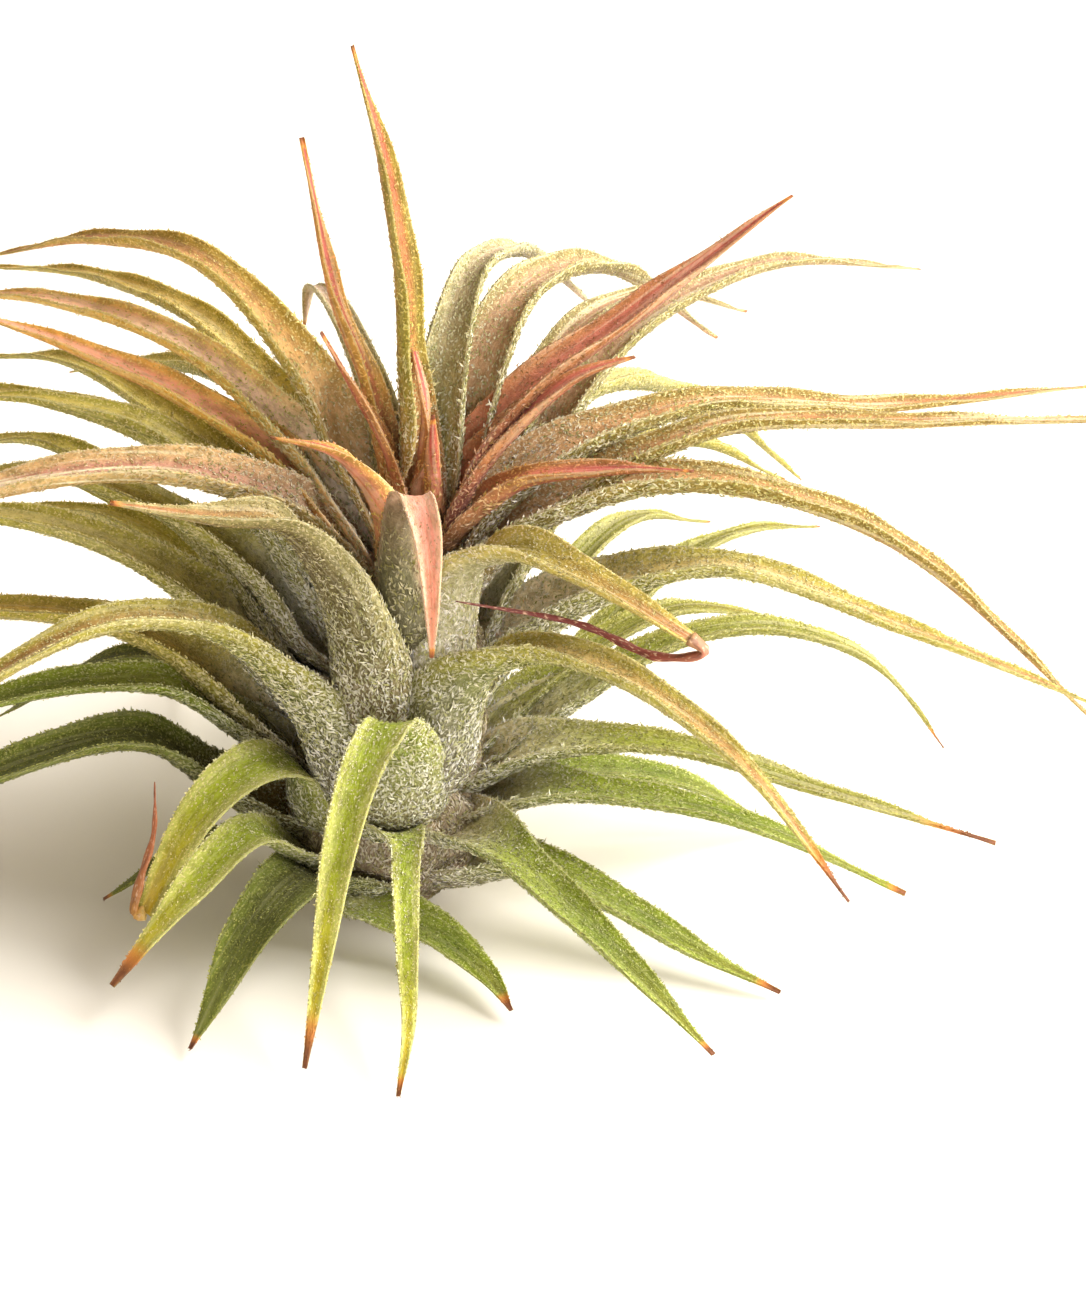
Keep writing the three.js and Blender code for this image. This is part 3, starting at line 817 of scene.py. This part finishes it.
def felted(bm, sheet, values, amount, draw):
    """Covers a leaf with felt, and returns the values of the skin under each hair."""
    along, u, side = values[:3]
    density = np.where(side > 0.5, np.interp(along, FELT_AT, OUTER_PER_MM2),
                       np.interp(along, FELT_AT, INNER_PER_MM2)) * amount
    root, normal, pointing, shown = hair_roots(sheet, values, density, draw)
    count = len(root)
    length = np.where(shown[2] > 0.5, np.interp(shown[0], FELT_AT, OUTER_LENGTH),
                      np.interp(shown[0], FELT_AT, INNER_LENGTH))
    length = length * draw.uniform(*LENGTH_SPREAD, count)
    x, y, z = (root * SWIRL_WAVES).T
    swirl = SWIRL * np.sin(x + z) * np.cos(y + 1)
    pointing = turned(pointing, normal, swirl + draw.normal(0, STRAY, count))
    thinner = np.interp(shown[0], THINNER_AT, THINNER)
    width = HAIR_WIDTH * draw.uniform(*WIDTH_SPREAD, count) * thinner
    lift = draw.uniform(*LIFT_SPREAD, count)
    add_hairs(bm, root, normal, pointing, length, width, lift, draw.normal(0, CURL, count),
              draw.normal(0, TWIST, count))
    return shown


print("felt of up to", max(OUTER_PER_MM2), "hairs to a square millimetre")

# %% [markdown]
# Both edges carry a fringe that catches the light. Its hairs stand out from the edge and lean
# towards the tip, and they get shorter on the way there.

# %% Fringe
FRINGE_PER_MM = 5.0
FRINGE_LENGTH = 0.24
FRINGE_BETWEEN = (0.02, 0.96)
FRINGE_LEAN = (0.5, 1.2)
FRINGE_LENGTH_SPREAD = (0.5, 1.3)
FRINGE_WIDTH_SPREAD = (0.6, 1.0)
FRINGE_LIFT = (-0.2, 0.2)
FRINGE_CURL = 0.15
SHORTER_AT = (0, 0.25, 1)
SHORTER = (1.5, 1.2, 0.6)


def fringed(bm, sheet, values, amount, draw):
    """A fringe of hairs along both edges of a leaf."""
    fringe = []
    for column in (0, COLUMNS - 1):
        count = int(sheet["length"] * FRINGE_PER_MM * amount)
        place = draw.uniform(*FRINGE_BETWEEN, count) * (STATIONS - 1)
        row = place.astype(int)
        part = (place - row)[:, None]
        skin = sheet["skin"]
        root = skin[row, column] * (1 - part) + skin[row + 1, column] * part
        edgewise, ahead = sheet["edgewise"][row, column], sheet["ahead"][row]
        lean = draw.uniform(*FRINGE_LEAN, count)[:, None]
        pointing = unit(edgewise * (1.4 - lean) + ahead * lean)
        normal = unit(np.cross(ahead, edgewise))
        length = FRINGE_LENGTH * draw.uniform(*FRINGE_LENGTH_SPREAD, count)
        length = length * np.interp(row / STATIONS, SHORTER_AT, SHORTER)
        width = HAIR_WIDTH * draw.uniform(*FRINGE_WIDTH_SPREAD, count)
        add_hairs(bm, root, normal, pointing, length, width, draw.uniform(*FRINGE_LIFT, count),
                  draw.normal(0, FRINGE_CURL, count), np.zeros(count))
        fringe.append([table[row, column] for table in values])
    return [np.concatenate(pair) for pair in zip(*fringe)]


print("fringe of", FRINGE_PER_MM, "hairs to a millimetre of edge")

# %% [markdown]
# ## Colourings
#
# Under the felt the plant wears a handful of colourings, from the green of the oldest leaves to
# the red of the youngest. Each is a short list of colours from the foot to the tip, one list for
# the outside of the leaf and one for the inside of the channel, then the colour of the margins,
# which stay gold or green while the middle of the blade blushes, and one list for the hairs.

# %% The colourings
# The first colour of each list, at the foot, is browner and darker: partly the foot's own brown,
# partly painted shade deep among the sheaths.
STOPS = (0.0, 0.16, 0.34, 0.65, 1.0)
LOOKS = {
    "meadow": (("8a6e58", "a09880", "606c14", "607010", "84841c"),
               ("a88c6c", "dcd4a8", "98a440", "6c7c1c", "807c20"),
               "8c9c28", ("ece6da", "d4d49c", "ccd074")),
    "moss": (("6e543c", "706838", "40440c", "4c5414", "707030"),
             ("80643c", "94804c", "484a10", "586020", "80883c"),
             "6c7820", ("dcdac8", "989858", "b0b058")),
    "bright": (("84705c", "8c8464", "90a038", "9ca830", "b8a42c"),
               ("84784c", "d0cc90", "98a82c", "a0ac24", "c4a820"),
               "c4c868", ("ece8dc", "e4e0b4", "ece090")),
    "lime": (("7e6444", "808448", "6c7418", "787c18", "907c20"),
             ("c0a880", "f0e8c0", "a0a83c", "78781c", "84741c"),
             "98983c", ("e4e0d4", "ccc880", "d0c878")),
    "olive": (("a88c74", "948c68", "747c2c", "8c8c38", "ac9c4c"),
              ("f0e0c8", "fcf8e8", "dcd48c", "d0c060", "dcc468"),
              "b4ac48", ("ece8dc", "e8dca0", "ecdc8c")),
    "umber": (("6e5840", "6c6448", "848030", "a89844", "e0c468"),
              ("e0c8a8", "fcf0d0", "dcc880", "dcbc64", "e8c060"),
              "b8ac44", ("dedacc", "ead888", "ecd484")),
    "honey": (("88765e", "84806a", "7c8430", "948440", "b08448"),
              ("e4d4b4", "fcf0dc", "d4c080", "b08c4c", "b07044"),
              "b4ac48", ("e8e4da", "e0d8a4", "e4d48c")),
    "sunrise": (("84705c", "8c7c60", "6c6438", "645430", "8c5434"),
                ("78644c", "b0a470", "908c58", "9c8450", "b06c40"),
                "a09860", ("e8e2d6", "c8c09c", "c4ac74")),
    "salmon": (("605844", "68644a", "706c4c", "8c6850", "a06444"),
               ("a88468", "e8bc9c", "e8b09c", "f0a490", "e88c6c"),
               "ecc0a4", ("bcb494", "aca078", "e8bca0")),
    "copper": (("bcb4a4", "dcd8cc", "ccc8a4", "8c842c", "8c642c"),
               ("8c8468", "ecdca8", "a89c48", "948430", "9c6438"),
               "c4b458", ("fcf8f0", "f4ecd4", "e4d494")),
    "blush": (("8c7048", "887c3c", "988440", "ac8048", "b87850"),
              ("947c64", "c4a078", "bc8c5c", "b07848", "b06848"),
              "907c2c", ("e6e0d4", "e4d894", "e8d088")),
    "rose_gold": (("d0ac8c", "f0cc98", "e4c464", "e8bc5c", "f0ac68"),
                  ("fcd0b8", "fcecdc", "fcdcc4", "fcc8a4", "fcb890"),
                  "e0bc5c", ("e6dec8", "f0e48c", "f0d888")),
    "coral": (("a08068", "c89868", "d49c50", "dc9060", "e47458"),
              ("fcccb4", "fce0c4", "fcc4a4", "f8ac8c", "f08c70"),
              "e8b850", ("f0dcb4", "f0dc80", "f0c484")),
    "amber": (("a88058", "c0a450", "c8b050", "d09c60", "d47c5c"),
              ("e0c0a0", "dcbc8c", "c89c5c", "c08c60", "c47454"),
              "bca444", ("ece4cc", "ecdc84", "eccc80")),
    "flame": (("a08058", "b0984c", "ac9844", "c08850", "cc6850"),
              ("c09078", "b88c58", "b0783c", "b06840", "b84c40"),
              "989034", ("ece4cc", "e0d070", "e4b878")),
    "rose": (("a08c70", "b8a068", "c0a850", "cc9c5c", "d8947c"),
             ("907c60", "a88c70", "cc9880", "d49484", "d89484"),
             "e4c488", ("dcd4bc", "e0cc9c", "ecd0a4")),
    "rust": (("b89068", "d09c60", "cc8858", "d48068", "dc6c5c"),
             ("dca48c", "dca878", "c07850", "b05848", "a44440"),
             "c09840", ("f0d8a8", "ecc870", "ecac7c")),
    "ember": (("5c3828", "703c30", "88483c", "8c4034", "842824"),
              ("94644c", "d08468", "c07860", "c06c58", "ac4c3c"),
              "a8703c", ("c49c7c", "b88460", "d08c70")),
    "red": (("8c6448", "bc8860", "c07860", "b85c4c", "9c3430"),
            ("d09c80", "f0c09c", "d88864", "b45c50", "902c2c"),
            "a87840", ("ecccac", "e4b868", "e4a080")),
    "straw": (("746454", "807c48", "908450", "a88c64", "cc9c80"),
              ("b89478", "c8a480", "b89070", "ac8468", "bc8c74"),
              "8c8044", ("e6e2d6", "e8dca0", "e8d8a4")),
    "pale": (("6c7048", "787c44", "888458", "ac9478", "e0c4b0"),
             ("9c7c60", "a89c5c", "a49470", "b49480", "d4b0a0"),
             "b0a878", ("e0dcc4", "dcd4a4", "e0d0b4")),
    "husk": (("7c6450", "948270", "94846c", "988068", "8c6444"),
             ("6a5040", "84705a", "84705c", "806850", "785438"),
             "8c7858", ("ccc0ac", "c4b8a4", "b89c7c")),
}
print(len(LOOKS), "colourings")

# %% [markdown]
# ## The skin's material
#
# The colour runs from foot to tip, so it is read from the value "along" that each leaf's mesh
# carries, once for the outside and once for the inside. On top come the things that a closer look
# shows, so first a few helpers are needed that make the nodes and link them.

# %% Node helpers
def node(tree, kind, **settings):
    """A new shader node of a kind, with its settings."""
    made = tree.nodes.new("ShaderNode" + kind)
    for name, value in settings.items():
        setattr(made, name, value)
    return made


def join(tree, source, target):
    """Links a socket to a socket, or sets the target to a number."""
    if isinstance(source, (int, float)):
        target.default_value = source
    else:
        tree.links.new(source, target)


def attribute(tree, name):
    """A value that the mesh carries."""
    return node(tree, "Attribute", attribute_name=name).outputs["Fac"]


def maths(tree, operation, a, b=0.0):
    """One step of arithmetic on two sockets or numbers."""
    made = node(tree, "Math", operation=operation)
    join(tree, a, made.inputs[0])
    join(tree, b, made.inputs[1])
    return made.outputs[0]


def product(tree, *factors):
    """All the factors multiplied."""
    made = factors[0]
    for factor in factors[1:]:
        made = maths(tree, "MULTIPLY", made, factor)
    return made


print("helpers for numbers are ready")

# %% [markdown]
# Colours need helpers of their own: a list of colours spread over a value, a soft step, and one
# colour laid over another. The noises read the place on the skin in millimetres, so their grain
# stays the same on every leaf and in the exported plant.

# %% Colour nodes
def ramp(tree, value, stops, colours):
    """The colour that a list of colours has at a value."""
    made = node(tree, "ValToRGB")
    elements = made.color_ramp.elements
    elements[0].position = stops[0]
    elements[1].position = stops[-1]
    for stop in stops[1:-1]:
        elements.new(stop)
    for element, colour in zip(elements, colours):
        element.color = linear(colour)
    join(tree, value, made.inputs["Fac"])
    return made.outputs["Color"]


def fade(tree, value, low, high):
    """0 where value is low, 1 where it is high, and smooth between."""
    made = node(tree, "MapRange", interpolation_type="SMOOTHSTEP")
    join(tree, value, made.inputs["Value"])
    made.inputs["From Min"].default_value = low
    made.inputs["From Max"].default_value = high
    return made.outputs["Result"]


def blend(tree, amount, a, b, way="MIX"):
    """Colour b laid over colour a by an amount."""
    made = node(tree, "Mix", data_type="RGBA", blend_type=way)
    join(tree, amount, made.inputs["Factor"])
    for socket, colour in (("A", a), ("B", b)):
        target = [i for i in made.inputs if i.name == socket and i.type == "RGBA"][0]
        if isinstance(colour, str):
            target.default_value = linear(colour)
        else:
            tree.links.new(colour, target)
    return [o for o in made.outputs if o.type == "RGBA"][0]


def noise(tree, x_scale, y_scale, detail=2.0, distortion=0.0):
    """A noise over the skin, with its grain per millimetre across and along the leaf."""
    place = node(tree, "CombineXYZ")
    join(tree, maths(tree, "MULTIPLY", attribute(tree, "skin_x"), x_scale), place.inputs["X"])
    join(tree, maths(tree, "MULTIPLY", attribute(tree, "skin_y"), y_scale), place.inputs["Y"])
    made = node(tree, "TexNoise")
    made.inputs["Scale"].default_value = 1.0
    made.inputs["Detail"].default_value = detail
    made.inputs["Distortion"].default_value = distortion
    tree.links.new(place.outputs[0], made.inputs["Vector"])
    return made.outputs["Fac"]


print("helpers for colours are ready")

# %% [markdown]
# Under the felt lies the flesh: its colour list, margins that stay gold or green, a mottling of
# darker flesh and fine pale lines that run along the blade.

# %% Flesh
EDGE_CREAM = "f8f0cc"
WANDER_GRAIN = (0.5, 0.12)
WANDER = 0.12
MARGIN_REACH = (0.35, 0.85)
MARGIN_FROM = (0.15, 0.4)
MARGIN_COVER = 0.85
MOTTLE_GRAIN = (1.7, 0.55, 4.0)
MOTTLE_STEP = (0.42, 0.62)
MOTTLE_COVER = 0.5
MOTTLE_SHADE = "b0ac88"
LINE_GRAIN = (2.6, 0.04, 1.0)
LINE_STEP = (0.5, 0.62)
LINES_FROM = (0.3, 0.5)
USUAL_STRIPES = 0.2
STRIPES = {"rose": 0.9, "flame": 0.05, "amber": 0.1, "sunrise": 0.25, "salmon": 0.12,
           "straw": 0.4, "blush": 0.4, "meadow": 0.08, "moss": 0.08, "bright": 0.08, "husk": 0.0}


def flesh(tree, name, along, side, reach):
    """The colour of the leaf under its felt."""
    outer, inner, margin = LOOKS[name][:3]
    wander = maths(tree, "SUBTRACT", noise(tree, *WANDER_GRAIN), 0.5)
    along_here = maths(tree, "ADD", along, product(tree, wander, WANDER))
    colour = blend(tree, side, ramp(tree, along_here, STOPS, inner),
                   ramp(tree, along_here, STOPS, outer))
    at_margin = product(tree, fade(tree, reach, *MARGIN_REACH), fade(tree, along, *MARGIN_FROM),
                        MARGIN_COVER)
    colour = blend(tree, at_margin, colour, margin)
    mottle = fade(tree, noise(tree, *MOTTLE_GRAIN), *MOTTLE_STEP)
    colour = blend(tree, product(tree, mottle, MOTTLE_COVER), colour, MOTTLE_SHADE, "MULTIPLY")
    lines = fade(tree, noise(tree, *LINE_GRAIN), *LINE_STEP)
    lines = product(tree, lines, fade(tree, along, *LINES_FROM), STRIPES.get(name, USUAL_STRIPES))
    return blend(tree, lines, colour, EDGE_CREAM)


print("stripes are strongest on", max(STRIPES, key=STRIPES.get))

# %% [markdown]
# The lowest fur is too fine to model, so it is painted: gaps of painted shade between the strands,
# over the darker skin that shows there, and lighter crests of a stretched noise, which also gives
# the bump. Single pale scales are specks with a painted glint, plainer towards the edges, and where
# the fringe is dense the very edge looks cream, partly from the fringe and partly a painted
# highlight.

# %% Painted fur
FUR_AT = (0.0, 0.14, 0.34, 0.6, 1.0)
FUR_OUTER = ("a8a8a8", "b0b0b0", "a0a0a0", "808080", "585858")
FUR_INNER = ("606060", "a0a0a0", "909090", "787878", "484848")
HAIR_STOPS = (0.12, 0.4, 0.8)
STRAND_GRAIN = (5.0, 2.0, 2.0, 1.4)
GAP_STEP = (0.54, 0.42)
GAP_SHADE = "a49a78"
CREST_STEP = (0.54, 0.66)
CREST_COVER = 0.8
SPECK_GRAIN = (5.0, 3.5, 2.0)
SPECK_STEP = (0.57, 0.62)
GLINT_REACH = (0.3, 0.8)
GLINTS = ("707070", "e0e0e0")
RIM_REACH = (0.95, 0.99)
RIM_GRAIN = (1.0, 2.2)
RIM_STEP = (0.47, 0.55)
RIM_ENDS = (0.97, 0.8)
USUAL_RIM = 0.35
RIMS = {"coral": 0.25, "flame": 0.2, "rust": 0.25, "ember": 0.2, "red": 0.2, "amber": 0.25,
        "rose_gold": 0.35, "moss": 0.2, "meadow": 0.3, "husk": 0.1}
FELT_AMOUNT = {"coral": 0.5, "rust": 0.3, "ember": 0.35, "red": 0.3, "salmon": 0.6, "amber": 0.55,
               "flame": 0.5, "rose_gold": 0.6, "rose": 0.8, "blush": 0.7, "straw": 0.7,
               "copper": 1.3}


def furred(tree, name, colour, along, side, reach):
    """The colour with the fur over it, the colour of the fur alone, and its strands."""
    amount = min(FELT_AMOUNT.get(name, 1.0), 1.0)
    fur_colour = ramp(tree, along, HAIR_STOPS, LOOKS[name][3])
    cover = blend(tree, side, ramp(tree, along, FUR_AT, FUR_INNER),
                  ramp(tree, along, FUR_AT, FUR_OUTER))
    strands = noise(tree, *STRAND_GRAIN)
    # Painted shade in the gaps between the fur's strands, laid over the darker skin that shows
    # there.
    gaps = product(tree, fade(tree, strands, *GAP_STEP), cover, amount)
    colour = blend(tree, gaps, colour, GAP_SHADE, "MULTIPLY")
    crests = product(tree, fade(tree, strands, *CREST_STEP), cover, CREST_COVER * amount)
    colour = blend(tree, crests, colour, fur_colour)
    # Pale scales painted as specks, with a painted glint that is brightest towards the edges.
    specks = fade(tree, noise(tree, *SPECK_GRAIN), *SPECK_STEP)
    glint = blend(tree, fade(tree, reach, *GLINT_REACH), *GLINTS)
    colour = blend(tree, product(tree, specks, glint), colour, fur_colour)
    # The cream edge: partly the pale colour of the dense fringe, partly a painted highlight along
    # the edge.
    rim = product(tree, fade(tree, reach, *RIM_REACH),
                  fade(tree, noise(tree, *RIM_GRAIN), *RIM_STEP),
                  fade(tree, along, *RIM_ENDS), RIMS.get(name, USUAL_RIM))
    return blend(tree, rim, colour, EDGE_CREAM), fur_colour, strands


print("the barest of the colourings is", min(FELT_AMOUNT, key=FELT_AMOUNT.get))

# %% [markdown]
# Hairs are part of the same mesh and wear the same material. A point with any "felt" is a hair's:
# it takes the colour of the fur, each hair a little lighter or darker, and is a little glossier.
# Last comes the brown of the dry tip, over skin and hairs alike. A trace of sheen is the soft glow
# of the felt, and the flesh lets a little light through, green and red more than blue.

# %% Skin material
HAIR_TONES_AT = (0.15, 0.45, 0.75)
HAIR_TONES = ("a8ac5c", "ccceaa", "ffffff")
HAIR_FROM = 0.01
COVER = 0.95
DRY_STOPS = (0.3, 0.7, 1.0)
DRY = ("c8903c", "b06a30", "6c3820")
DRY_STEP = (0.0, 0.55)
BUMP_STRENGTH = 0.7
BUMP_HEIGHT = 0.15
SKIN_ROUGHNESS = 0.6
HAIR_ROUGHNESS = 0.38
SKIN_FINISH = {"Specular IOR Level": 0.3, "Sheen Weight": 0.06, "Sheen Roughness": 0.5,
               "Subsurface Weight": 0.3, "Subsurface Scale": 0.5 * MM,
               "Subsurface Radius": (1.0, 0.8, 0.3)}


def bumped(tree, height, strength, distance, shader):
    """Raises the shader's surface a little where the height is high."""
    bump = node(tree, "Bump")
    bump.inputs["Strength"].default_value = strength
    bump.inputs["Distance"].default_value = distance * MM
    tree.links.new(height, bump.inputs["Height"])
    tree.links.new(bump.outputs["Normal"], shader.inputs["Normal"])


def skin_material(name):
    """The finish of a leaf and its hairs in one of the colourings."""
    made, tree, shader = new_material("felted_leaf_" + name, SKIN_FINISH)
    along = attribute(tree, "along")
    side = attribute(tree, "side")
    reach = maths(tree, "ABSOLUTE", attribute(tree, "across"))
    felt = attribute(tree, "felt")
    colour = flesh(tree, name, along, side, reach)
    colour, fur_colour, strands = furred(tree, name, colour, along, side, reach)
    tones = ramp(tree, felt, HAIR_TONES_AT, HAIR_TONES)
    hairs = blend(tree, 1.0, fur_colour, tones, "MULTIPLY")
    is_hair = maths(tree, "GREATER_THAN", felt, HAIR_FROM)
    colour = blend(tree, product(tree, is_hair, COVER), colour, hairs)
    dryness = attribute(tree, "dryness")
    dried = ramp(tree, dryness, DRY_STOPS, DRY)
    dry_cover = 0.0 if name == "husk" else COVER
    colour = blend(tree, product(tree, fade(tree, dryness, *DRY_STEP), dry_cover), colour, dried)
    tree.links.new(colour, shader.inputs["Base Color"])
    bumped(tree, strands, BUMP_STRENGTH, BUMP_HEIGHT, shader)
    gloss = node(tree, "MapRange")
    join(tree, is_hair, gloss.inputs["Value"])
    gloss.inputs["To Min"].default_value = SKIN_ROUGHNESS
    gloss.inputs["To Max"].default_value = HAIR_ROUGHNESS
    tree.links.new(gloss.outputs["Result"], shader.inputs["Roughness"])
    return made


skins = {name: skin_material(name) for name in sorted({one["look"] for one in leaves})}
print(len(skins), "skins")

# %% [markdown]
# ## Dead tips
#
# Two blades end in a dead tip: a thin, dry strip that has bent back on the leaf and shrivelled to
# a thread. One is golden brown, the other has gone maroon. It is a flattened cord of uneven width
# with a light grain and pale scales left along it.

# %% Dead tip
DEAD_SIDES = 8
DEAD_FLATNESS = 0.5
DEAD_AT = (0.0, 0.1, 0.35, 0.7, 1.0)
DEAD_WIDTH = (1.7, 1.35, 1.0, 0.65, 0.14)
DEAD_UNEVENNESS = 0.14
DEAD_LUMPS = 1.9
DEAD_RADIUS = 0.4
DEAD_FINISH = {"Roughness": 0.6}
DEAD_STOPS = (0.0, 0.08, 0.25, 0.6, 1.0)
DEAD_COLOURS = {"bright": ("dcb868", "b4803c", "a4683c", "a45c34", "8a4424"),
                "copper": ("a88058", "b06c54", "8c4438", "702c28", "5c2420")}
SCALES_GRAIN = (5.0, 1.6, 3.0)
SCALES_STEP = (0.55, 0.66)
SCALES_COVER = 0.7
SCALES_COLOUR = "e4c0a0"
STAIN_GRAIN = (3.0, 0.6, 3.0)
STAIN_STEP = (0.5, 0.62)
STAIN_COVER = 0.5
STAIN_COLOUR = "4c201c"


def dead_material(look):
    """The finish of a dead tip."""
    made, tree, shader = new_material("dry_tip_" + look, DEAD_FINISH)
    colour = ramp(tree, attribute(tree, "along"), DEAD_STOPS, DEAD_COLOURS[look])
    scales = fade(tree, noise(tree, *SCALES_GRAIN), *SCALES_STEP)
    colour = blend(tree, product(tree, scales, SCALES_COVER), colour, SCALES_COLOUR)
    stain = fade(tree, noise(tree, *STAIN_GRAIN), *STAIN_STEP)
    colour = blend(tree, product(tree, stain, STAIN_COVER), colour, STAIN_COLOUR)
    tree.links.new(colour, shader.inputs["Base Color"])
    return made


def dead_tip(bm, one, seed):
    """The bent thread at the end of a leaf, as one more closed skin in the same mesh."""
    spots, ahead, length = stations_on(smooth_line(placed(one, one["dead"])), STATIONS)
    side, inward = crossways(spots, ahead)
    turn = np.linspace(0, 2 * math.pi, DEAD_SIDES, endpoint=False)
    share = np.linspace(0, 1, STATIONS)
    lumps = 1 + DEAD_UNEVENNESS * np.sin(share * length * DEAD_LUMPS + seed)
    width = (np.interp(share, DEAD_AT, DEAD_WIDTH) * lumps)[:, None, None]
    ring = (side[:, None] * np.cos(turn)[None, :, None]
            + inward[:, None] * np.sin(turn)[None, :, None] * DEAD_FLATNESS)
    points = spots[:, None] + ring * width / 2
    shape = points.shape[:2]
    along = np.broadcast_to(share[:, None], shape)
    zero = np.zeros(shape)
    old = set(bm.faces)
    around = turn[None] * DEAD_RADIUS + seed + zero
    values = (along, zero, zero, zero, around, along * length, zero)
    ring_skin(bm, points, values)
    for face in bm.faces:
        if face not in old:
            face.material_index = 1


dry_materials = {look: dead_material(look) for look in DEAD_COLOURS}
print("dead tips on", sum(one["dead"] is not None for one in leaves), "leaves")

# %% [markdown]
# ## Growing the leaves
#
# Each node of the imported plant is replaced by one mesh: the skins of its leaves first, all closed
# and facing out, and then the hairs, so that closing the skins never touches a hair. The old
# sheaths have no node of their own and are one more piece on the stem. The values that the
# materials read are written for the skin while it is made and for the hairs at the end.

# %% Growing
DULLEST_FELT = 0.25
DULLEST_FRINGE = 0.6


def write_values(mesh, first, columns):
    """Writes the hairs' values on the corners after the first ones."""
    for name, column in zip(VALUE_NAMES, columns):
        data = mesh.attributes[name].data
        stored = np.zeros(len(data), np.float32)
        data.foreach_get("value", stored)
        stored[first:] = np.repeat(column, 4)
        data.foreach_set("value", stored)


def grow(node_name, members):
    """Makes the finished piece of one node from its leaves."""
    bm = new_leaf_mesh()
    sheets = []
    for seed, one in members:
        sheet = leaf_sheet(one, seed)
        values = sheet_values(sheet, seed)
        ring_skin(bm, sheet["skin"], values)
        sheets.append((one, sheet, values))
        if one["dead"]:
            dead_tip(bm, one, seed)
    closed(bm)
    first = len(bm.verts)
    columns = []
    for one, sheet, values in sheets:
        draw = sheet["draw"]
        amount = FELT_AMOUNT.get(one["look"], 1.0)
        for cover, dullest in ((felted, DULLEST_FELT), (fringed, DULLEST_FRINGE)):
            shown = cover(bm, sheet, values, amount, draw)
            shown[3] = draw.uniform(dullest, 1.0, len(shown[3]))
            columns.append(shown)
    look = members[0][1]["look"]
    finishes = [skins[look]] + ([dry_materials[look]] if members[0][1]["dead"] else [])
    made = object_of("grown_" + node_name, bm, finishes)
    write_values(made.data, first, [np.concatenate(c) for c in zip(*columns)])
    if node_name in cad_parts:
        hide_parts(node_name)
    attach(made, "root")
    return made


def triangles(made):
    """How many triangles a piece has."""
    return sum(len(p.vertices) - 2 for p in made.data.polygons)


nodes = {}
for seed, one in enumerate(leaves):
    nodes.setdefault(one["node"], []).append((seed, one))
grown = [grow(name, members) for name, members in nodes.items()]
counts = [triangles(made) for made in grown]
print(len(grown), "pieces of leaves,", sum(counts), "triangles, at most", max(counts), "in one")

# %% [markdown]
# ## The stem
#
# The short stem shows only between the sheaths and from below. It is dry and brown, ringed by
# the scars of old leaves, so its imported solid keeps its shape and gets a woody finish.

# %% Stem
SCAR_RINGS = 260
SCAR_WANDER = 5
SCAR_COVER = 0.5
FIBRES = 1400
FIBRE_DETAIL = 4
FIBRE_STOPS = (0.3, 0.55, 0.75)
STEM_BROWNS = ("4a3220", "7a5c3c", "a88c64")
SCAR_STRENGTH = 0.8
SCAR_HEIGHT = 0.2
STEM_FINISH = {"Roughness": 0.85}


def stem_material():
    """Dry brown wood with rings of scars."""
    made, tree, shader = new_material("dry_stem", STEM_FINISH)
    place = node(tree, "TexCoord").outputs["Object"]
    rings = node(tree, "TexWave", wave_type="BANDS", bands_direction="Z")
    rings.inputs["Scale"].default_value = SCAR_RINGS
    rings.inputs["Distortion"].default_value = SCAR_WANDER
    fibres = node(tree, "TexNoise")
    fibres.inputs["Scale"].default_value = FIBRES
    fibres.inputs["Detail"].default_value = FIBRE_DETAIL
    for texture in (rings, fibres):
        tree.links.new(place, texture.inputs["Vector"])
    colour = ramp(tree, fibres.outputs["Fac"], FIBRE_STOPS, STEM_BROWNS)
    colour = blend(tree, product(tree, rings.outputs["Fac"], SCAR_COVER), colour, STEM_BROWNS[0])
    tree.links.new(colour, shader.inputs["Base Color"])
    bumped(tree, rings.outputs["Fac"], SCAR_STRENGTH, SCAR_HEIGHT, shader)
    return made


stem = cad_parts["stem"]
stem.data.materials.clear()
stem.data.materials.append(stem_material())
print("the stem wears", stem.data.materials[0].name)

# %% [markdown]
# ## Sizes
#
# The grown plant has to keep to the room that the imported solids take, so both boxes are written
# down side by side.

# %% Write the sizes and finish
grown_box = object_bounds()
for label, (low, high) in (("packed", cad_box), ("grown", grown_box)):
    print(label, "size in mm:", [round((h - l) / MM, 1) for l, h in zip(low, high)])
